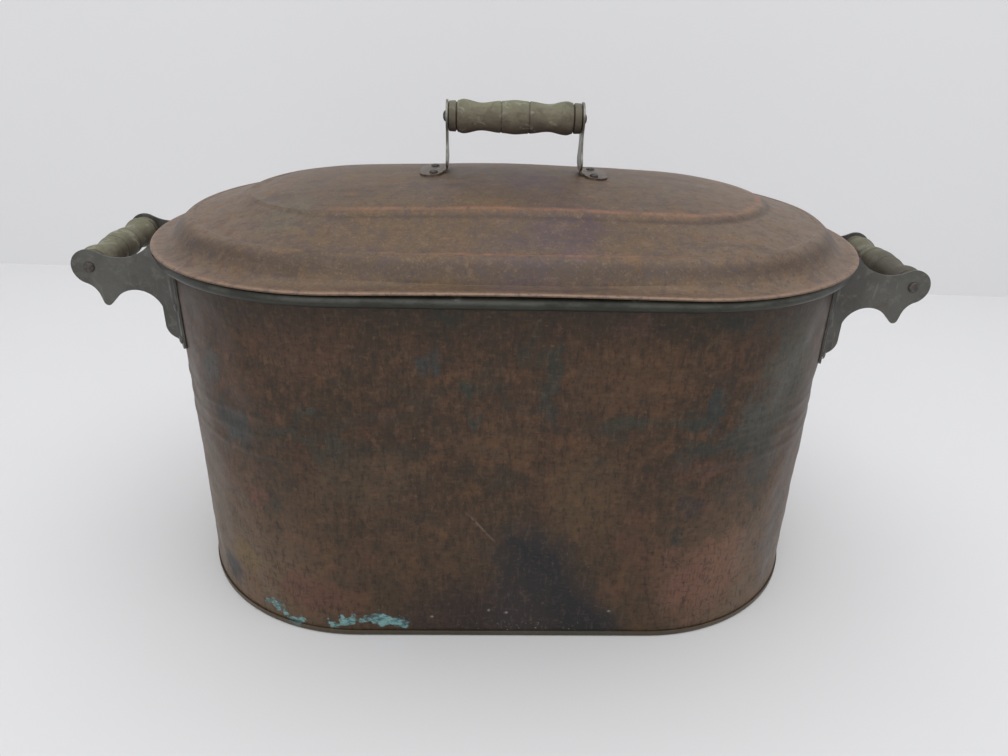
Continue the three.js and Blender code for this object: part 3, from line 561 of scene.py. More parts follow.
def tub_copper():
    """Brown tarnished copper: stained by patches of tan, red, slate and green on the
    front, mottled and streaked all round, with soot at the foot and verdigris at the base."""
    paint = Finish("worn_tub_copper")
    x, y, z = paint.x, paint.y, paint.z
    front = y.between(0.0, -0.09)
    wide = paint.noise(0.10, 5, 0.6, shift=(0.3, 0.1, 0.7), warp=0.4)
    mid = paint.noise(0.022, 6, 0.68, shift=(1.3, 2.1, 0.2), warp=0.4)
    fine = paint.noise(0.0045, 5, 0.7)
    down = paint.noise(0.003, 4, 0.7, stretch=(1, 1, 0.3), shift=(4.1, 0, 0))
    across = paint.noise(0.0028, 4, 0.7, stretch=(0.35, 0.35, 1), shift=(0, 7.7, 0))
    bands = paint.noise(0.02, 5, 0.6, stretch=(0.2, 0.2, 1.4), shift=(0, 2.7, 0))

    paint.ground(wide.between(0.3, 0.7), "3d2e20", "463224")
    small = paint.noise(0.009, 5, 0.7, stretch=(1, 1, 0.7), shift=(2.3, 4.1, 8.2), warp=0.3)
    paint.layers(
        (mid, 0.48, 0.66, 0.7, "5a3f2a"),
        (small, 0.52, 0.64, 0.60, "2a251e"),
        (small, 0.46, 0.34, 0.50, "674b37"),
    )
    red = paint.noise(0.04, 5, 0.6, shift=(9.1, 3.3, 5.2), warp=0.5)
    low = z.between(0.20, 0.02)
    paint.lay(red.between(0.5, 0.68) * (0.2 + 0.4 * low), "613d2f")
    # Painted reflection of the pale floor: the lower wall lighter, and lighter still towards both
    # ends.
    paint.lay(low * 0.35, "564431")
    paint.lay(low * abs(x).between(0.11, 0.22) * 0.55, "7c654e")
    cloud = paint.noise(0.03, 6, 0.65, stretch=(0.7, 0.7, 1.3), shift=(6.4, 1.9, 8.8), warp=0.5)
    paint.lay(cloud.between(0.53, 0.66) * (0.15 + 0.45 * z.near(0.2, 0.1)), "31322b")

    place = paint.warped(0.022, 0.045)
    rag = (mid - 0.5) * 2.2 + (small - 0.5) * 2.4 + (fine - 0.5) * 1.8
    for code, strength, centre, along, up in STAINS:
        patch = paint.stain(place, centre, along, up, 0.9)
        cover = (patch + rag * 0.55).between(0.25, 0.95) * (patch * 2.5).at_most(1.0)
        paint.lay(cover * strength, code)

    paint.lay(bands.between(0.5, 0.66) * z.near(0.19, 0.05) * 0.4, "2c2d27")
    # Painted shade under the rim: the top of the wall darker.
    paint.lay(z.between(0.250, 0.300) * 0.62, "27221a")

    u, _, w = paint.parts(paint.warped(0.035, 0.05, shift=(3.3, 0, 6.1)))
    soot = u.between(-0.022, 0.004) * (u + w * 0.5).between(0.116, 0.084) * w.between(0.130, 0.098)
    core = (u + w * 0.6).near(0.075, 0.05).at_least(u.near(0.035, 0.03) * w.near(0.085, 0.03))
    paint.lay(soot * front * (0.84 + 0.16 * core), "161518")
    spread = u.near(-0.03, 0.085) * w.between(0.085, 0.02)
    paint.lay(spread * front * 0.85, "2b2223")
    ember = paint.stain(place, (17, -158, 49), 4, 7)
    paint.lay(ember * 0.6, "5a4036")

    paint.layers(
        (down, 0.50, 0.68, 0.60, "231f1a"),
        (across, 0.51, 0.69, 0.45, "26221d"),
        (down, 0.48, 0.30, 0.16, "75604f"),
        (across, 0.48, 0.30, 0.12, "776351"),
        (fine, 0.44, 0.30, 0.55, "1f1a15"),
        (fine, 0.58, 0.72, 0.40, "70543c"),
    )

    bloom = paint.noise(0.004, 5, 0.7, stretch=(0.6, 0.6, 1.2), shift=(5.5, 5.5, 0))
    chalk = paint.stain(place, (-200, -138, 15), 7, 4)
    for centre, along in (
        ((-189, -144, 13), 8),
        ((-175, -149, 10), 9),
        ((-146, -157, 11), 7),
        ((-128, -158, 15), 14),
        ((-98, -158, 16), 19),
    ):
        chalk = chalk.at_least(paint.stain(place, centre, along, 4 + along / 4))
    green = (chalk * 1.1 + bloom * 1.1).between(1.05, 1.45)
    verdigris = paint.mix(bloom.between(0.42, 0.6), tone("3f666b"), tone("79a3a2"))
    paint.lay(green * 0.85, verdigris)
    fleck = paint.stain(paint.place, (-12, -158, 27), 1.1, 1.2)
    for centre in ((-60, -158, 20), (3, -158, 25), (90, -158, 27)):
        fleck = fleck.at_least(paint.stain(paint.place, centre, 1.2, 1.0))
    crust = paint.noise(0.003, 3, 0.6).between(0.62, 0.7) * z.between(0.020, 0.010)
    crust = crust * x.near(0.02, 0.1)
    paint.lay((fleck + crust * front) * 0.55, "9a9a92")
    scratch = abs((x + 0.034) * 0.774 + (z - 0.130) * 0.635).between(0.0014, 0.0002)
    scratch = scratch * x.near(-0.020, 0.018) * front * fine.between(0.35, 0.55)
    paint.lay(scratch * 0.45, "85766a")
    paint.lay(z.between(0.0062, 0.0052) * 0.65, "4d493a")

    rough = 0.46 + 0.3 * (mid - 0.5) + 0.15 * soot + 0.2 * green
    height = fine * 0.3 + mid * 0.3 + down * 0.1 + green * 0.25
    return paint.finished(rough, 0.45 - 0.3 * soot - 0.35 * green, height, 0.001, 0.45)


def lid_copper():
    """Paler pitted copper: brown with a strong fine grain, lighter towards the ends, purple-grey
    stains near the middle, painted highlights along the edge, the brim and the creases, and painted
    shade low on the shoulder, round the step and on the front slope."""
    paint = Finish("worn_lid_copper")
    x, y = paint.x, paint.y
    beyond = (abs(x) - STRAIGHT_HALF * MM).at_least(0.0)
    inset = LID_RADIUS * MM - (beyond * beyond + y * y) ** 0.5
    wide = paint.noise(0.09, 5, 0.6, shift=(2.2, 0.6, 0), warp=0.5)
    mid = paint.noise(0.02, 6, 0.65, shift=(0.2, 4.6, 0), warp=0.6)
    grain = paint.noise(0.0018, 3, 0.7)
    pits = paint.noise(0.0046, 5, 0.7, shift=(1, 2, 3))
    spots = paint.noise(0.010, 5, 0.65, shift=(5, 1, 7), warp=0.4)
    along = paint.noise(0.016, 5, 0.6, stretch=(0.3, 1, 1), shift=(8.8, 0.3, 0))

    paint.ground(wide.between(0.32, 0.68), "5e4b35", "5a4a3c")
    paint.lay(abs(x + 0.02).between(0.09, 0.25) * 0.7, "786656")
    paint.layers(
        (mid, 0.48, 0.68, 0.55, "725639"),
        (along, 0.52, 0.70, 0.55, "41362d"),
    )
    place = paint.warped(0.02, 0.04)
    for code, strength, centre, reach in (
        ("4a3a44", 0.90, (45, -105, 335), 26),
        ("4c3f48", 0.75, (20, -40, 360), 28),
        ("564850", 0.60, (10, -135, 330), 34),
        ("4f454b", 0.45, (-60, -55, 355), 18),
        ("5e6656", 0.45, (-165, -85, 340), 20),
    ):
        patch = paint.stain(place, centre, reach, 2 * reach)
        paint.lay(patch * mid.between(0.35, 0.6) * strength, code)
    # Painted highlight along the shoulder's crease at the front and along the step at the front
    # left.
    painted_highlight = inset.near(0.0345, 0.0035) * x.near(0.0, 0.17)
    painted_highlight = painted_highlight + inset.near(0.0845, 0.0045) * x.between(-0.17, -0.08)
    paint.lay(painted_highlight * mid.between(0.3, 0.55) * 0.7, "90654c")
    # Painted highlights: the brim lighter, and the curled edge lighter still.
    paint.layers(
        (inset, 0.012, 0.004, 0.40, "7f6654"),
        (inset, 0.005, 0.001, 0.5, "957c6a"),
    )
    # Painted shade on the front slope between the shoulder and the step.
    paint.lay(inset.near(0.056, 0.022) * x.near(0.02, 0.15) * 0.30, "463930")
    shade = inset.near(0.0235, 0.008) + inset.near(0.0765, 0.004) * x.between(-0.19, -0.10)
    paint.lay(shade * 0.6, "3d3027")

    paint.layers(
        (grain, 0.52, 0.72, 0.20, "98806e"),
        (grain, 0.47, 0.30, 0.30, "332a24"),
        (pits, 0.47, 0.33, 0.60, "43373a"),
        (pits, 0.56, 0.70, 0.26, "8c7564"),
        (spots, 0.50, 0.36, 0.45, "483d40"),
        (spots, 0.54, 0.72, 0.26, "806b5b"),
    )
    rough = 0.52 + 0.2 * (mid - 0.5)
    height = pits * 0.5 + grain * 0.3 + mid * 0.3
    return paint.finished(rough, 0.35, height, 0.0007, 0.55)


def dark_iron():
    """Old tinned iron sheet: neutral dark grey, worn lighter on patches, with brown hints and
    fine scratches."""
    paint = Finish("worn_dark_iron")
    wide = paint.noise(0.04, 5, 0.6, warp=0.3)
    mid = paint.noise(0.010, 6, 0.68, shift=(2, 3, 4))
    grain = paint.noise(0.0014, 4, 0.65)
    scratch = paint.noise(0.004, 4, 0.6, stretch=(1, 1, 0.15), shift=(5, 1, 0))
    paint.ground(wide.between(0.35, 0.65), "4a4945", "5a5955")
    paint.lay(mid.between(0.5, 0.68) * 0.6, "716f69")
    rust = paint.noise(0.02, 5, 0.6, shift=(7, 7, 1), warp=0.6)
    paint.layers(
        (rust, 0.55, 0.7, 0.45, "52473c"),
        (scratch, 0.6, 0.72, 0.4, "82807a"),
        (grain, 0.42, 0.28, 0.45, "2c2b29"),
    )
    rough = 0.5 + 0.3 * (mid - 0.5)
    return paint.finished(rough, 0.45, mid * 0.6 + grain * 0.3, 0.0006, 0.5)


def rim_iron():
    """The same iron on the rim: darker, with a painted highlight along the crest of the roll and
    painted shade below it.
    """
    paint = Finish("worn_rim_iron")
    mid = paint.noise(0.012, 6, 0.68, stretch=(0.4, 0.4, 1), shift=(2, 3, 4))
    grain = paint.noise(0.0014, 4, 0.65)
    paint.ground(mid.between(0.35, 0.65), "282823", "373730")
    crest = RIM_CENTRE[1] * MM
    # Painted highlight along the crest of the roll.
    painted_highlight = paint.z.near(crest + 0.0012, 0.0022) * (0.25 + 0.75 * mid.between(0.4, 0.6))
    paint.lay(painted_highlight * 0.36, "6b6d66")
    paint.lay(mid.between(0.64, 0.74) * 0.4, "7d7f79")
    # Painted shade on the underside of the roll.
    paint.lay(paint.z.between(crest - 0.002, crest - 0.0045) * 0.5, "23221f")
    paint.lay(grain.between(0.42, 0.28) * 0.45, "232220")
    rough = 0.42 + 0.3 * (mid - 0.5)
    return paint.finished(rough, 0.5, mid * 0.5 + grain * 0.3, 0.0006, 0.5)


def bare_steel():
    """Dull bare steel straps: mid grey with brown stains, browner on the feet."""
    paint = Finish("worn_bare_steel")
    mid = paint.noise(0.006, 5, 0.65, shift=(1, 5, 2))
    grain = paint.noise(0.0012, 4, 0.6, stretch=(1, 1, 0.3))
    stain = paint.noise(0.014, 5, 0.6, shift=(4, 4, 4), warp=0.5)
    paint.ground(mid.between(0.38, 0.66), "6b6a63", "8d8b84")
    paint.lay(stain.between(0.46, 0.66) * 0.7, "564d43")
    foot = paint.z.between(0.3700, 0.3680)
    paint.lay(foot * 0.92, paint.mix(mid.between(0.4, 0.6), tone("4b3f35"), tone("68594c")))
    paint.lay(grain.between(0.44, 0.32) * 0.4, "45443f")
    rough = 0.42 + 0.3 * (mid - 0.5)
    return paint.finished(rough, 0.6, mid * 0.4 + grain * 0.4, 0.0004, 0.5)


def dull_steel():
    """Steel of the rods and rivets: dark grey-brown, a little lighter where it is worn."""
    paint = Finish("worn_dull_steel")
    mid = paint.noise(0.004, 5, 0.65, shift=(1, 5, 2))
    paint.ground(mid.between(0.38, 0.66), "403c38", "5b5752")
    return paint.finished(0.5 + 0.3 * (mid - 0.5), 0.5, mid, 0.0004, 0.5)


def grip_wood(name, axis, length, centre):
    """Weathered turned wood: mottled grey-green above and darker below as painted shade, with soft
    grain drawn along the grip, darker in the grooves, and pale scuffs where it has been handled."""
    paint = Finish(name)
    side = "xyz".index(axis)
    along = (paint.x, paint.y)[side] - centre[side] * MM
    stretch = ((0.2, 1, 1), (1, 0.2, 1))[side]
    grain = paint.noise(0.0024, 6, 0.65, stretch=stretch, warp=0.3)
    blotch = paint.noise(0.010, 5, 0.6, shift=(6, 2, 5), warp=0.6)
    broad = paint.noise(0.018, 5, 0.6, shift=(3, 1, 2), warp=0.4)
    fine = paint.noise(0.0014, 3, 0.6)
    paint.ground(broad.between(0.35, 0.65), "5d5547", "716a58")
    paint.lay(grain.between(0.5, 0.7) * 0.45, "4a4136")
    height_up = paint.z - centre[2] * MM
    # Grey-green tone on the upper side, and painted shade on the underside.
    paint.layers(
        (height_up, 0.003, 0.013, 0.5, "6d7258"),
        (height_up, 0.001, -0.012, 0.6, "45393a"),
        (blotch, 0.56, 0.68, 0.55, "8f8d7d"),
        (blotch, 0.44, 0.32, 0.5, "4b4136"),
    )
    half = length / 2 * MM
    shallow, deep = (place for place, _ in GRIP_GROOVES)
    groove = abs(along).near(shallow * half, 0.0011) * 0.5 + abs(along).near(deep * half, 0.0011)
    paint.lay(groove * 0.75, "29241f")
    paint.lay(abs(along).between(0.89 * half, 0.91 * half) * 0.45, "4d443a")
    paint.lay(fine.between(0.44, 0.3) * 0.35, "37322a")
    if "right" in name:
        paint.lay(along.between(0.012, -0.012) * 0.5 + 0.25, "453f3a")
    rough = 0.62 + 0.2 * (grain - 0.5)
    return paint.finished(rough, 0.0, grain * 0.5 + blotch * 0.4 + fine * 0.2, 0.0007, 0.6, 0.35)


def give(node_names, material):
    """Puts one material on carried parts of the frame."""
    for name in node_names:
        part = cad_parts[name]
        part.data.materials.clear()
        part.data.materials.append(material)


def finish_for(maker, *options):
    """The finish made by a function, made once."""
    name = options[0] if options else f"worn_{maker.__name__}"
    return bpy.data.materials.get(name) or maker(*options)


# ---- settings ----


class BoilerLooks(bpy.types.PropertyGroup):
    """Sizes and colours of the boiler's surfaces that a user would change."""

    bead_rise: bpy.props.FloatProperty(
        name="Bead height",
        description="How far the three beads stand out of the wall, in millimetres",
        default=0.9,
    )
    wall_dents: bpy.props.FloatProperty(
        name="Wall dents",
        description="Depth of the dents in the tub's wall, in millimetres",
        default=1.6,
        min=0,
    )
    brim_lift: bpy.props.FloatProperty(
        name="Brim lift",
        description="How far the brim of the lid is bowed up in the middle, in millimetres",
        default=2.2,
    )
    lid_dents: bpy.props.FloatProperty(
        name="Lid dents",
        description="Depth of the unevenness of the lid, in millimetres",
        default=0.5,
        min=0,
    )
    grip_wear: bpy.props.FloatProperty(
        name="Grip wear",
        description="Unevenness of the turned grips as a share of their radius",
        default=0.012,
        min=0,
    )
    floor: bpy.props.FloatVectorProperty(
        name="Floor",
        description="Colour of the floor",
        subtype="COLOR",
        default=tone("dededf"),
    )
    wall: bpy.props.FloatVectorProperty(
        name="Wall",
        description="Colour of the wall behind",
        subtype="COLOR",
        default=tone("e3e3e4"),
    )
    light: bpy.props.FloatProperty(
        name="Light",
        description="Strength of the even light from all sides",
        default=0.735,
        min=0,
    )


# ---- operators ----


def wall_sheet(sign, looks):
    """Half of the tub's wall, in columns from one lap round to the other. The front half (sign -1)
    passes under the back one at both laps. Angles count from the tub's ends to its long sides."""
    lap = LAP_WIDTH / 2 / WALL_RADIUS
    slope = lap + LAP_SLOPE_WIDTH / WALL_RADIUS
    quarter = np.linspace(math.pi / 2, 0.12, 66)
    quarter = np.concatenate([quarter, np.linspace(0.11, -lap, 22 if sign > 0 else 30)])
    middle = np.linspace(-STRAIGHT_HALF, STRAIGHT_HALF, 62)[1:-1]
    end = np.full(quarter.size, STRAIGHT_HALF)
    start = np.concatenate([-end, middle, end])
    dx = np.concatenate([-np.cos(quarter[::-1]), 0 * middle, np.cos(quarter)])
    angle = np.concatenate([quarter[::-1], 0 * middle + math.pi / 2, quarter])
    dy = sign * np.sin(angle)
    x = start + WALL_RADIUS * dx
    columns = (start, dx, dy, angle, x, travelled(x, WALL_RADIUS * dy))
    start, dx, dy, angle, x, u = (part[:, None] for part in columns)

    low, high = COPPER / 2 + BASE_BEND_RADIUS, RIM_TOP - RIM_SHOULDER_RADIUS
    levels = ((low, 160, 46), (162, 210, 60), (213, high, 34))
    v = np.concatenate([np.linspace(*part) for part in levels])[None, :]

    # No dents near the base, the rim, the laps and the ears' rivets.
    calm = ramp(v, 8, 33) * ramp(v, 294, 272) * ramp(angle, 0.1, 0.2)
    near_ear = np.exp(-(((angle - EAR_RIVET_ANGLE) / 0.11) ** 2)) * ramp(v, 205, 225)
    dent = 0.5 + 0.5 * ripples(1.4 * u, v, 75, 11 if sign < 0 else 23) + 0.2 * ripples(u, v, 30, 5)
    depth = looks.wall_dents * np.clip(dent, 0, 1.3) * calm * (1 - near_ear)

    # The beads are faded on the straight part, and uneven.
    bead = looks.bead_rise * sum(hump(v - height, BEAD_WIDTH / 2) for height in BEAD_HEIGHTS)
    bead = bead * (0.6 - 0.4 * ramp(abs(x), 150, 80)) * (0.8 + 0.2 * ripples(u, 0, 130, 3))
    under = (COPPER + FIT) * ramp(angle, slope, lap) if sign < 0 else 0
    sides = (WALL_RADIUS - under - inside + bead - depth for inside in (0, COPPER))
    return shell(*(together(start + radius * dx, radius * dy, v) for radius in sides))


class BOILER_OT_tub(bpy.types.Operator):
    """Makes the two sheets of the tub's wall, with beads, dents and lapped ends"""

    bl_idname = "boiler.tub"
    bl_label = "Tub wall"

    def execute(self, context):
        for name, sign in (("front", -1), ("back", 1)):
            shape, nodes = wall_sheet(sign, context.scene.boiler_looks), [f"body_{name}_sheet"]
            finish = finish_for(tub_copper)
            make_piece(f"tub_{name}_wall", shape, "tub", nodes, finish)
        return {"FINISHED"}


class BOILER_OT_base(bpy.types.Operator):
    """Makes the bottom pan, with its edge turned up round the wall"""

    bl_idname = "boiler.base"
    bl_label = "Bottom pan"

    def execute(self, context):
        middle, bend = COPPER / 2, BASE_BEND_RADIUS
        lip = WALL_RADIUS + FIT + middle
        corner = arc((lip - bend, middle + bend), bend, -90, 0, 12)
        path = np.concatenate([[[0, middle]], corner, [[lip, BASE_LIP_HEIGHT]]])
        section = sheet_loop(eased_path(path, SHEET_BLUR, 26), COPPER)
        section[[0, -1], 0] = 0
        shape = joined(carried_round(around(72, 12), section))
        finish = finish_for(tub_copper)
        make_piece("bottom_pan", shape, "tub", ["base_pan"], finish, 0.25)
        return {"FINISHED"}


class BOILER_OT_rim(bpy.types.Operator):
    """Makes the iron rim, rolled outwards over its wire"""

    bl_idname = "boiler.rim"
    bl_label = "Rolled rim"

    def execute(self, context):
        top = RIM_TOP - RIM_SHEET / 2
        shoulder = (RIM_LEG_RADIUS + RIM_SHOULDER_RADIUS, top - RIM_SHOULDER_RADIUS)
        path = np.concatenate(
            [
                [[RIM_LEG_RADIUS, RIM_TOP - RIM_LEG_DEPTH]],
                arc(shoulder, RIM_SHOULDER_RADIUS, 180, 90, 12),
                arc(RIM_CENTRE, RIM_ROLL_RADIUS - RIM_SHEET / 2, 90, -165, 40),
            ]
        )
        section = sheet_loop(eased_path(path, SHEET_BLUR, 64), RIM_SHEET)
        shape = joined(carried_round(around(120, 60), section), closed=True)
        make_piece("rolled_rim", shape, "tub", ["rim_band"], finish_for(rim_iron))
        give(["rim_wire"], finish_for(dull_steel))
        return {"FINISHED"}


def outline_round(circles, step=2.5):
    """An outline that runs anticlockwise round circles [u, v, radius], joined by tangents: a
    positive radius makes a convex corner, a negative one a hollow. The tangent from one circle to
    the next heads along the line of centres, less the arcsine of the difference of their radii
    over their distance. Arcs have a point every step degrees."""
    circles = np.asarray(circles, float)
    following = np.roll(circles, -1, axis=0)
    du, dv = (following - circles)[:, :2].T
    heading = np.arctan2(dv, du) - np.arcsin((following[:, 2] - circles[:, 2]) / np.hypot(du, dv))
    before = np.roll(heading, 1)
    turn = np.mod(heading - before, 2 * np.pi)
    turn = np.where(circles[:, 2] < 0, turn - 2 * np.pi, turn)
    runs = []
    for (u, v, radius), start, bend in zip(circles, before, turn):
        steps = int(abs(math.degrees(bend)) / step) + 2 if radius else 1
        angle = start + bend * np.linspace(0, 1, steps)
        runs.append(together(u + radius * np.sin(angle), v - radius * np.cos(angle)))
    return np.concatenate(runs)


def touching(one, from_one, other, from_other):
    """The point at given distances from two others, on the left of the way between them."""
    span = np.hypot(*(other - one))
    along = (from_one**2 - from_other**2 + span**2) / (2 * span)
    aside = math.sqrt(from_one**2 - along**2)
    du, dv = (other - one) / span
    return one + (along * du - aside * dv, along * dv + aside * du)


def ear_outline(axis_z):
    """The side view of an ear, from the knob round the rod to the flange on the wall."""
    corner, foot_corner = EAR_CORNER, EAR_FOOT_CORNER
    cheek = EAR_PLANE - EAR_SHEET / 2
    edge = STRAIGHT_HALF + math.sqrt(RIM_OUTER_RADIUS**2 - cheek**2) + FIT
    notch = RIM_TOP - 2 * RIM_ROLL_RADIUS - 2 * FIT
    knob = np.array([HANDLE_REACH, axis_z])
    top = np.array([edge + corner, RIM_TOP - EAR_TOP_BELOW_RIM])
    neck = EAR_NECK_RADIUS + HAIR
    neck = touching(top, neck + corner, knob, neck + EAR_KNOB_RADIUS)
    away = EAR_KNOB_RADIUS + EAR_FLANK_RADIUS + HAIR
    flank = knob + away * np.array([math.sin(EAR_FLANK_LEAN), -math.cos(EAR_FLANK_LEAN)])
    horn = flank - EAR_HORN_FROM_FLANK
    tab_x = STRAIGHT_HALF + EAR_FLANGE_RADIUS * math.cos(EAR_BEND_ANGLE)
    tab = np.array([tab_x, axis_z - EAR_TAB_DROP])
    arch_x = (tab_x + EAR_TAB_RADIUS + horn[0] - EAR_HORN_RADIUS) / 2
    arch = np.array([arch_x, axis_z - EAR_ARCH_DROP])
    room = np.hypot(*(arch - tab)) - EAR_TAB_RADIUS, np.hypot(*(arch - horn)) - EAR_HORN_RADIUS
    inner_face = EAR_FLANGE_RADIUS - EAR_SHEET / 2
    far = STRAIGHT_HALF + inner_face * math.cos(EAR_END_ANGLE) + foot_corner
    bottom = axis_z - EAR_FOOT_DROP
    hollow = math.sqrt((EAR_TAB_RADIUS + corner + HAIR) ** 2 - (2 * corner) ** 2)
    return outline_round(
        [
            [*knob, EAR_KNOB_RADIUS],
            [*neck, -EAR_NECK_RADIUS],
            [*top, corner],
            [edge - corner, notch + corner, -corner],
            [far, notch - foot_corner, foot_corner],
            [far, bottom + foot_corner, foot_corner],
            [tab_x, bottom + corner, corner],
            [tab_x + 2 * corner, tab[1] - hollow, -corner],
            [*tab, EAR_TAB_RADIUS],
            [*arch, HAIR - min(EAR_ARCH_MOST, *room)],
            [*horn, EAR_HORN_RADIUS],
            [*flank, -EAR_FLANK_RADIUS],
        ]
    )


def bent_ear(outline, side, end):
    """An ear's sheet in columns: at each place along the flange, the bend and the cheek, it runs
    from the outline's lower edge to its upper one, half its thickness to both sides."""
    first, last = int(outline[:, 0].argmin()), int(outline[:, 0].argmax())
    loop = np.roll(outline, -first, axis=0)
    split = (last - first) % len(outline)
    lower, upper = loop[: split + 1], loop[split:][::-1]

    bend_x = STRAIGHT_HALF + (EAR_FLANGE_RADIUS + EAR_BEND_RADIUS) * math.cos(EAR_BEND_ANGLE)
    flange = np.linspace(EAR_END_ANGLE, EAR_BEND_ANGLE, 40)
    turn = np.linspace(math.pi + EAR_BEND_ANGLE, 1.5 * math.pi, 25)[1:]
    breaks = np.sort(np.concatenate([lower[:, 0], upper[:, 0]]))
    cheek = np.unique(np.round(breaks[breaks > bend_x + 0.1], 2))
    cheek = np.unique(np.concatenate([cheek, np.linspace(bend_x + 0.5, outline[:, 0].max(), 90)]))
    flange_x = STRAIGHT_HALF + EAR_FLANGE_RADIUS * np.cos(flange)
    mid_x = np.concatenate([flange_x, bend_x + EAR_BEND_RADIUS * np.cos(turn), cheek])
    bend_y = EAR_PLANE + EAR_BEND_RADIUS * (1 + np.sin(turn))
    mid_y = np.concatenate([EAR_FLANGE_RADIUS * np.sin(flange), bend_y, 0 * cheek + EAR_PLANE])
    out_x = np.concatenate([np.cos(flange), -np.cos(turn), 0 * cheek])
    out_y = np.concatenate([np.sin(flange), -np.sin(turn), 0 * cheek + 1])

    # The lower edge is eased across the bend, where the outline steps.
    ends = outline[:, 0].min() + 0.02, outline[:, 0].max() - 0.02
    low, high = (
        np.interp(np.clip(mid_x, *ends), np.maximum.accumulate(line[:, 0]), line[:, 1])
        for line in (lower, upper)
    )
    gone, spacing, reach = travelled(mid_x, mid_y), 0.1, 16
    even = np.arange(0, gone[-1], spacing)
    bell = np.hanning(2 * reach + 1) / np.hanning(2 * reach + 1).sum()
    eased = np.convolve(np.pad(np.interp(even, gone, low), reach, mode="edge"), bell, mode="valid")
    low = np.where(mid_x < bend_x + 2, np.interp(gone, even, eased), low)[:, None]
    z = low + (high[:, None] - low) * np.linspace(0, 1, 18)
    middle, out = together(mid_x, mid_y), together(out_x, out_y)
    planes = (middle + half * out for half in (EAR_SHEET / 2, -EAR_SHEET / 2))
    return shell(*(together(side * line[:, :1], end * line[:, 1:], z) for line in planes))


class BOILER_OT_ears(bpy.types.Operator):
    """Makes the four stamped iron ears with their bent flanges"""

    bl_idname = "boiler.ears"
    bl_label = "Ears"

    def execute(self, context):
        for side_name, side in (("left", -1), ("right", 1)):
            outline = ear_outline(HANDLE_Z[side_name])
            for end_name, end in (("front", -1), ("rear", 1)):
                shape, name = bent_ear(outline, side, end), f"{side_name}_{end_name}_ear"
                finish = finish_for(dark_iron)
                make_piece(f"{name}_plate", shape, "tub", [name], finish, 0.3)
        return {"FINISHED"}


def dome(radius, rise, seat):
    """A flattened dome, [radius, height] points from its top to its seat."""
    angle = np.linspace(0, math.pi / 2, 9)
    return together(radius * np.sin(angle) ** 0.9, seat + rise * np.cos(angle))


def rod_profile(seat):
    """A rod headed at both ends, whose heads are seated that far from its middle."""
    top = np.concatenate([dome(*ROD_HEAD, seat), [[ROD_RADIUS, seat]]])
    return np.concatenate([top, top[::-1] * (1, -1)])


def rivet_profile(grip):
    """A domed head above its seat at 0, the shank, and a low tail below the grip."""
    tail = dome(*RIVET_TAIL, 0.0)[::-1] * (1, -1) - (0, grip)
    shank = [[RIVET_RADIUS, 0], [RIVET_RADIUS, -grip]]
    return np.concatenate([dome(*RIVET_HEAD, 0.0), shank, tail])


def outward_rivet(side, angle, z):
    """A rivet through an ear's flange, whose head points out of an end of the tub at an angle."""
    out = np.array([side * math.cos(angle), math.sin(angle), 0])
    across = np.array([-out[1], out[0], 0])
    local = turned(rivet_profile(EAR_RIVET_GRIP), 28, (0, 0, 0), "z")
    seat = EAR_FLANGE_RADIUS + EAR_SHEET / 2 + FIT
    foot = np.array([side * STRAIGHT_HALF, 0, z]) + seat * out
    return foot + local[..., :1] * across + local[..., 1:2] * (0, 0, 1) + local[..., 2:] * out


class BOILER_OT_rivets(bpy.types.Operator):
    """Makes the rivets that hold the ears, and the rods through the grips"""

    bl_idname = "boiler.rivets"
    bl_label = "Rivets and rods"

    def execute(self, context):
        for name, side in (("left", -1), ("right", 1)):
            axis_z, studs, nodes = HANDLE_Z[name], [], []
            for end_name, end in (("front", -1), ("rear", 1)):
                for i, drop in enumerate(EAR_RIVET_DROPS):
                    studs.append(outward_rivet(side, end * EAR_RIVET_ANGLE, axis_z - drop))
                    nodes.append(f"{name}_{end_name}_ear_rivet_{i + 1}")
            shape, finish = joined(*studs), finish_for(dark_iron)
            make_piece(f"{name}_ear_rivets", shape, "tub", nodes, finish)
            rod = rod_profile(EAR_PLANE + EAR_SHEET / 2 + FIT)
            shape = joined(turned(rod, 40, (side * HANDLE_REACH, 0, axis_z), "y"))
            nodes, finish = [f"{name}_grip_rod"], finish_for(dull_steel)
            make_piece(f"{name}_rod", shape, "tub", nodes, finish)
        return {"FINISHED"}


def grip_profile(length):
    """A grip's section: half-cosine curves through the barrel, the shoulder, the waist, the flare
    and the collar, with a cosine groove at the shoulder and before the collar, and a bore."""
    half = length / 2
    places, radii = np.array(GRIP_PLACES) * half, np.array(GRIP_RADII)
    close = [place * half + np.linspace(-1.4, 1.4, 13) for place, _ in GRIP_GROOVES]
    z = np.unique(np.concatenate([np.linspace(0, half, 90), *close]))
    index = np.clip(np.searchsorted(places, z, "right") - 1, 0, 4)
    share = (z - places[index]) / (places[index + 1] - places[index])
    radius = radii[index] + (radii[index + 1] - radii[index]) * (1 - np.cos(np.pi * share)) / 2
    for place, depth in GRIP_GROOVES:
        radius = radius - depth * hump(z - place * half, GRIP_GROOVE_HALF)
    past = np.clip((z - half) / GRIP_END_ROUND + 1, 0, 1)
    radius = radius - GRIP_END_ROUND * (1 - np.sqrt(1 - past**2))
    end = together(radius, z)
    bore = ROD_RADIUS + GRIP_BORE_SLACK
    return np.concatenate([[[bore, -half]], end[::-1] * (1, -1), end[1:], [[bore, half]]])


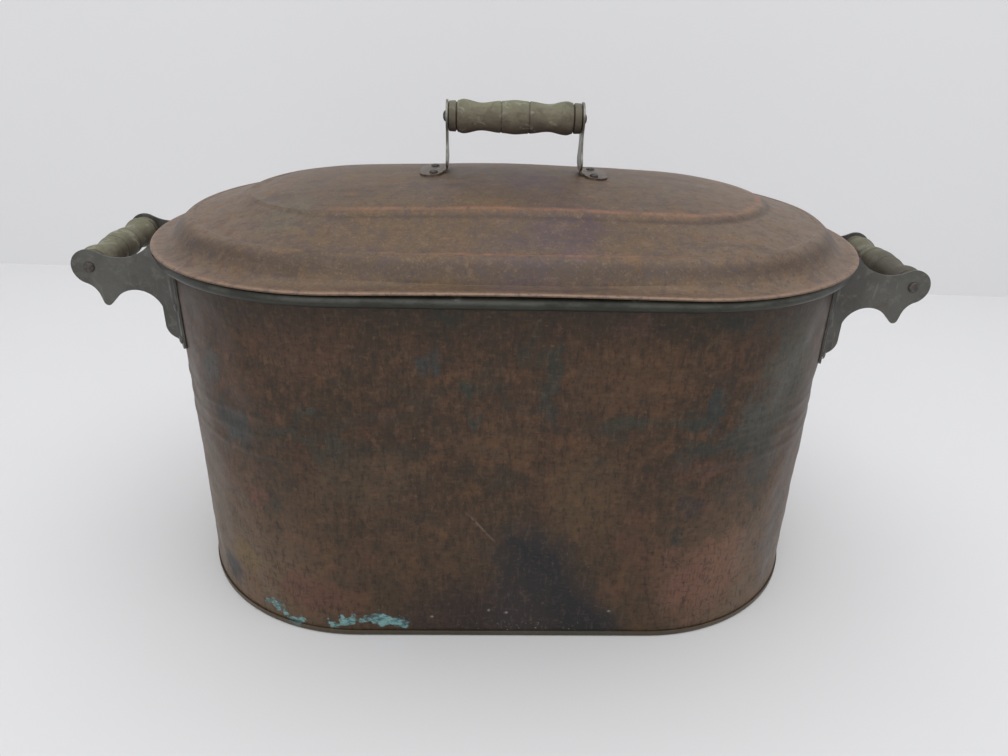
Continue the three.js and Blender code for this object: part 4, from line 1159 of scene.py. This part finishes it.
class BOILER_OT_grips(bpy.types.Operator):
    """Makes the three turned wooden grips"""

    bl_idname = "boiler.grips"
    bl_label = "Turned grips"

    def execute(self, context):
        wear = context.scene.boiler_looks.grip_wear
        for i, (name, axis, length, centre) in enumerate(
            [
                ("left_grip", "y", GRIP_LENGTH, (-HANDLE_REACH, 0, HANDLE_Z["left"])),
                ("right_grip", "y", GRIP_LENGTH, (HANDLE_REACH, 0, HANDLE_Z["right"])),
                ("lid_grip", "x", LID_GRIP_LENGTH, (LID_HANDLE_SHIFT, 0, LID_HANDLE_Z)),
            ]
        ):
            grid = turned(grip_profile(length), 72, centre, axis, wear, 40 + i)
            finish = finish_for(grip_wood, f"{name}_wood", axis, length, centre)
            shape = joined(grid, closed=True)
            make_piece(f"{name}_wood", shape, name, [name], finish)
        return {"FINISHED"}


def lid_height(inset):
    """Height of the middle of the lid's sheet over its lower edge, on the short axis: a rounded
    shoulder from the brim upwards, and a swelling panel inside the step."""
    share = np.clip((LID_SHOULDER[0] - inset) / (LID_SHOULDER[0] - LID_BRIM[0]), 0, 1)
    power, root = LID_SHOULDER_POWERS
    outer = LID_BRIM[1] + (LID_SHOULDER[1] - LID_BRIM[1]) * (1 - share**power) ** root
    share = np.clip((inset - LID_STEP[0]) / (LID_RADIUS - LID_STEP[0]), 0, 1)
    panel = LID_STEP[1] + (LID_TOP_HEIGHT - LID_STEP[1]) * (1 - (1 - share) ** LID_SWELL)
    return np.where(inset <= LID_SHOULDER[0], outer, panel) - COPPER / 2


def lid_sag(radius, x):
    """The lid sags towards both ends by a power of the distance along: not at all outside the
    shoulder, more on the panel, and most along the panel's ridge."""
    outer, inner = LID_RADIUS - LID_SHOULDER[0], LID_RADIUS - LID_STEP[0]
    share = np.clip((outer - radius) / (outer - inner), 0, 1)
    peak = 1 + LID_RIDGE_PEAK * np.maximum(1 - radius / inner, 0)
    return -LID_RIDGE_DROP * share * peak * (np.abs(x) / WALL_RADIUS) ** LID_RIDGE_POWER


def lid_worn_step(radius):
    """What fills the step round the panel where it is beaten flat, and what that takes off the
    crest inside it."""
    out = radius - (LID_RADIUS - LID_STEP[0])
    return sum(rise * np.exp(-(((out - at) / width) ** 2)) for rise, at, width in LID_WORN_BELLS)


def lid_top(x):
    """Height of the lid's upper face on the long axis."""
    return LID_EDGE_Z + lid_height(LID_RADIUS) + COPPER / 2 + lid_sag(0.0, x)


def lid_section():
    """The closed section of the lid's sheet, from its middle out to the curled edge and back."""
    middle = COPPER / 2
    panel = np.linspace(LID_RADIUS, LID_STEP[0], 60)
    run = LID_SHOULDER[0] - LID_BRIM[0]
    shoulder = LID_SHOULDER[0] - run * np.cos(np.radians(np.linspace(90, 0, 50)))
    step_foot = (LID_STEP[0] - LID_RISER[0], LID_STEP[1] - LID_RISER[1])
    crease = (LID_SHOULDER[0] + LID_CREASE[0], LID_SHOULDER[1] - LID_CREASE[1])
    edge = (LID_RADIUS - LID_EDGE_RADIUS, LID_EDGE_DROP + COPPER - LID_EDGE_RADIUS)
    path = np.concatenate(
        [
            together(LID_RADIUS - panel, lid_height(panel)),
            [[LID_RADIUS - inset, height - middle] for inset, height in (step_foot, crease)],
            together(LID_RADIUS - shoulder, lid_height(shoulder)),
            [[RIM_CENTRE[0], LID_EDGE_DROP + middle]],
            arc(edge, LID_EDGE_RADIUS - middle, 90, 0, 12),
            [[LID_RADIUS - middle, 0]],
        ]
    )
    section = sheet_loop(eased_path(path, LID_BLUR, 118), COPPER) + (0, LID_EDGE_Z)
    section[[0, -1], 0] = 0
    return section


def cove_fill(section):
    """What would fill the crease between brim and shoulder to a soft cove, on both faces."""
    (start, low), (end, high) = LID_COVE, LID_SHOULDER
    inset = LID_RADIUS - section[:, 0]
    face = np.repeat([0, -COPPER], len(section) // 2)
    cove = low + (high - low) * ramp(inset, start, end) + face + LID_EDGE_Z
    return ramp(inset, start, start + 3) * ramp(inset, end, end - 5) * (cove - section[:, 1])


class BOILER_OT_lid(bpy.types.Operator):
    """Makes the stamped lid with its curled edge, and the strip below it"""

    bl_idname = "boiler.lid"
    bl_label = "Lid"

    def execute(self, context):
        looks = context.scene.boiler_looks
        section = lid_section()
        cove = cove_fill(section)[None, :]

        def lift(radius, x, y):
            """Sag, dents away from the handle, the bowed brim, and wear towards the ends."""
            inset = LID_RADIUS - radius
            quiet = ramp(inset, 19, 44) * ramp(np.hypot(abs(x) - 70, y), 29, 59)
            dents = looks.lid_dents * quiet * (0.5 + 0.5 * ripples(x, y, 90, 31))
            brim = looks.brim_lift * ramp(inset, LID_BRIM[0], 0) * np.exp(-((x / 130) ** 2))
            worn = lid_worn_step(radius) * ramp(-x, 150, 220)
            soft = cove * (0.25 + 0.65 * ramp(abs(x), 30, 140))
            return lid_sag(radius, x) + worn + soft + brim - dents

        shape, finish = joined(carried_round(around(96, 48), section, lift)), finish_for(lid_copper)
        make_piece("stamped_lid", shape, "lid", ["lid_shell"], finish)

        path = together(LID_STRIP_RADIUS, np.linspace(*LID_STRIP_ENDS, 8))
        section = sheet_loop(path, COPPER) + (0, LID_EDGE_Z)
        shape = joined(carried_round(around(72, 12), section), closed=True)
        make_piece("lid_strip", shape, "lid", ["lid_locating_flange"], finish)
        return {"FINISHED"}


def strap_width(places, outline):
    """Half the width of an outline [width, place] at each place along it, on its right side."""
    right = outline[outline[:, 0] >= 0]
    right = right[np.argsort(right[:, 1], kind="stable")]
    return np.interp(places, right[:, 1], right[:, 0])


def strap_shape(side):
    """A strap as rows across its width: the middle line runs from the toe over the lid, round the
    bend and up to the head; the width follows the foot's round corners and the waisted blade."""
    toe = STRAP_PLANE + STRAP_FOOT_LENGTH
    heel = STRAP_PLANE + STRAP_BEND_RADIUS
    seats = [lid_top(LID_HANDLE_SHIFT + side * out) + FIT + STRAP_SHEET / 2 for out in (heel, toe)]
    rise = seats[0] + STRAP_BEND_RADIUS
    top = LID_HANDLE_Z + STRAP_HEAD_RADIUS
    foot = toe - (toe - heel) * np.linspace(0, 1, 50) ** 1.6
    blade = top - (top - rise) * np.linspace(1, 0, 90)[1:] ** 1.35
    bend = arc((heel, rise), STRAP_BEND_RADIUS, 270, 180, 14)[1:]
    foot_path = together(foot, np.interp(foot, [heel, toe], seats))
    path = np.concatenate([foot_path, bend, together(STRAP_PLANE, blade)])

    corner, flare = STRAP_FOOT_CORNER, STRAP_PLANE + STRAP_SHEET / 2
    foot_line = outline_round(
        [
            [-STRAP_HEEL_HALF, flare, 0],
            [STRAP_HEEL_HALF, flare, 0],
            [STRAP_FOOT_HALF - corner, toe - corner, corner],
            [corner - STRAP_FOOT_HALF, toe - corner, corner],
        ],
        1.5,
    )
    neck = STRAP_NECK[1]
    neck_reach = sum(STRAP_NECK)
    neck_drop = math.sqrt((STRAP_HEAD_RADIUS + neck + HAIR) ** 2 - neck_reach**2)
    bulge = (STRAP_BLADE[0] - STRAP_BLADE[1], rise + STRAP_BLADE[1] + STRAP_SHEET)
    blade_line = outline_round(
        [
            [0, LID_HANDLE_Z, STRAP_HEAD_RADIUS],
            [-neck_reach, LID_HANDLE_Z - neck_drop, -neck],
            [-bulge[0], bulge[1], STRAP_BLADE[1]],
            [-STRAP_HEEL_HALF, rise, 0],
            [STRAP_HEEL_HALF, rise, 0],
            [*bulge, STRAP_BLADE[1]],
            [neck_reach, LID_HANDLE_Z - neck_drop, -neck],
        ],
        1.5,
    )
    bend_half = np.full(len(bend), STRAP_HEEL_HALF)
    half = [strap_width(foot, foot_line), bend_half, strap_width(blade, blade_line)]
    y = np.maximum(np.concatenate(half), 0.05)[:, None] * np.linspace(-1, 1, 22)

    on_lid = ramp(path[:, :1], heel, heel + 4)
    droop = on_lid * (lid_height(LID_RADIUS - abs(y)) - lid_height(LID_RADIUS))
    lines = (path + normals(path) * offset for offset in (-STRAP_SHEET / 2, STRAP_SHEET / 2))
    grids = (
        together(LID_HANDLE_SHIFT + side * line[:, :1], y, line[:, 1:] + droop) for line in lines
    )
    return shell(*grids)


class BOILER_OT_lid_handle(bpy.types.Operator):
    """Makes the lid handle's bent straps, their rivets and the rod"""

    bl_idname = "boiler.lid_handle"
    bl_label = "Lid handle"

    def execute(self, context):
        steel, dull = finish_for(bare_steel), finish_for(dull_steel)
        studs = []
        for name, side in (("left", -1), ("right", 1)):
            shape, nodes = strap_shape(side), [f"{name}_lid_strap"]
            make_piece(f"{name}_strap", shape, "lid", nodes, steel, 0.3)
            x = LID_HANDLE_SHIFT + side * (STRAP_PLANE + STRAP_RIVET_OUT)
            droop = lid_height(LID_RADIUS - STRAP_RIVET_SPREAD) - lid_height(LID_RADIUS)
            seat = lid_top(x) + 2 * FIT + STRAP_SHEET + droop
            for y in (-STRAP_RIVET_SPREAD, STRAP_RIVET_SPREAD):
                studs.append(turned(rivet_profile(STRAP_RIVET_GRIP), 32, (x, y, seat), "z"))
        nodes = [f"lid_strap_rivet_{i}" for i in (1, 2, 3, 4)]
        make_piece("strap_rivets", joined(*studs), "lid", nodes, dull)
        rod = rod_profile(STRAP_PLANE + STRAP_SHEET / 2 + FIT)
        shape = joined(turned(rod, 40, (LID_HANDLE_SHIFT, 0, LID_HANDLE_Z), "x"))
        make_piece("lid_rod", shape, "lid", ["lid_grip_rod"], dull)
        return {"FINISHED"}


# The photograph's viewing angle: place of the camera in metres, and its turns in radians.
CAMERA_PLACE = (-0.0203, -0.6633, 0.4909)
CAMERA_PITCH = 0.4511
CAMERA_ROLL = 0.0270
CAMERA_YAW = 0.0316
CAMERA_LENS = 27.714
CAMERA_SENSOR = 36.0

# Where the wall behind meets the floor: two points in metres. The floor and the wall run on to
# both sides, the floor comes forward, and the wall goes up, by these lengths.
WALL_FOOT = ((-0.980, 0.843), (0.997, 0.739))
STAGE_SIDE = 5
FLOOR_DEPTH = 7
BACK_WALL_HEIGHT = 3.2

# Square lamps: name, place, size in metres and power in watts. They point at the boiler's middle.
LAMPS = (
    ("ceiling", (0.1, -0.2, 2.3), 2.6, 29.0),
    ("front", (-0.8, -2.6, 1.7), 1.8, 12.0),
)
LAMP_TARGET = (0, 0, 0.2)
ROOM_COLOR = (0.98, 0.985, 1.0, 1)


class BOILER_OT_stage(bpy.types.Operator):
    """Sets the pale floor and wall, the soft light and the camera"""

    bl_idname = "boiler.stage"
    bl_label = "Stage"

    def execute(self, context):
        looks = context.scene.boiler_looks
        left, right = (np.array(point) for point in WALL_FOOT)
        along = (right - left) / np.hypot(*(right - left))
        left, right = left - STAGE_SIDE * along, right + STAGE_SIDE * along
        front = FLOOR_DEPTH * np.array([along[1], -along[0]])
        foot = [(*left, 0), (*right, 0)]
        floor = [*foot, (*(right + front), 0), (*(left + front), 0)]
        wall = [*foot, (*right, BACK_WALL_HEIGHT), (*left, BACK_WALL_HEIGHT)]
        sheets = (("floor", floor, looks.floor), ("back_wall", wall, looks.wall))
        for name, corners, color in sheets:
            mesh = bpy.data.meshes.new(name)
            mesh.from_pydata(corners, [], [(3, 2, 1, 0)])
            thing = bpy.data.objects.new(name, mesh)
            context.scene.collection.objects.link(thing)
            paint = Finish(name)
            cloud, darker = paint.noise(0.5, 3, 0.5), [0.86 * part for part in color]
            paint.color = paint.mix(cloud * 0.12, color, darker)
            mesh.materials.append(paint.finished(0.65, 0.0, specular=0.2))

        world = bpy.data.worlds.new("soft_room")
        world.use_nodes = True
        back = world.node_tree.nodes["Background"]
        back.inputs["Color"].default_value = ROOM_COLOR
        back.inputs["Strength"].default_value = looks.light
        context.scene.world = world
        for name, place, size, power in LAMPS:
            lamp = bpy.data.lights.new(name, "AREA")
            lamp.shape, lamp.size, lamp.energy = "SQUARE", size, power
            thing = bpy.data.objects.new(name, lamp)
            thing.location = place
            ahead = Vector(LAMP_TARGET) - Vector(place)
            thing.rotation_euler = ahead.to_track_quat("-Z", "Y").to_euler()
            context.scene.collection.objects.link(thing)

        camera = bpy.data.cameras.new("camera")
        camera.lens, camera.sensor_width = CAMERA_LENS, CAMERA_SENSOR
        camera.sensor_fit = "HORIZONTAL"
        camera.clip_start, camera.clip_end = 0.01, 50
        flat = Vector((math.sin(CAMERA_YAW), math.cos(CAMERA_YAW), 0))
        ahead = math.cos(CAMERA_PITCH) * flat - Vector((0, 0, math.sin(CAMERA_PITCH)))
        level = Vector((flat.y, -flat.x, 0))
        above = level.cross(ahead)
        right = math.cos(CAMERA_ROLL) * level + math.sin(CAMERA_ROLL) * above
        up = -math.sin(CAMERA_ROLL) * level + math.cos(CAMERA_ROLL) * above
        turn = Matrix((right, up, -ahead)).transposed().to_4x4()
        eye = bpy.data.objects.new("camera", camera)
        eye.matrix_world = Matrix.Translation(CAMERA_PLACE) @ turn
        context.scene.collection.objects.link(eye)
        context.scene.camera = eye
        context.scene.view_settings.view_transform = "Standard"
        return {"FINISHED"}


class BOILER_PT_panel(bpy.types.Panel):
    """Lists the boiler's settings and the pieces that can be made"""

    bl_idname = "BOILER_PT_panel"
    bl_label = "Copper wash boiler"
    bl_space_type = "VIEW_3D"
    bl_region_type = "UI"
    bl_category = "Boiler"

    def draw(self, context):
        for name in BoilerLooks.__annotations__:
            self.layout.prop(context.scene.boiler_looks, name)
        for operator in OPERATORS:
            self.layout.operator(operator.bl_idname)


OPERATORS = (
    BOILER_OT_stage,
    BOILER_OT_tub,
    BOILER_OT_base,
    BOILER_OT_rim,
    BOILER_OT_ears,
    BOILER_OT_rivets,
    BOILER_OT_grips,
    BOILER_OT_lid,
    BOILER_OT_lid_handle,
)


def register():
    for kind in (BoilerLooks, *OPERATORS, BOILER_PT_panel):
        bpy.utils.register_class(kind)
    bpy.types.Scene.boiler_looks = bpy.props.PointerProperty(type=BoilerLooks)


def unregister():
    del bpy.types.Scene.boiler_looks
    for kind in reversed((BoilerLooks, *OPERATORS, BOILER_PT_panel)):
        bpy.utils.unregister_class(kind)


def main():
    """Makes every piece in order."""
    register()
    bpy.ops.boiler.stage()
    bpy.ops.boiler.tub()
    bpy.ops.boiler.base()
    bpy.ops.boiler.rim()
    bpy.ops.boiler.ears()
    bpy.ops.boiler.rivets()
    bpy.ops.boiler.grips()
    bpy.ops.boiler.lid()
    bpy.ops.boiler.lid_handle()


if __name__ == "__main__":
    main()
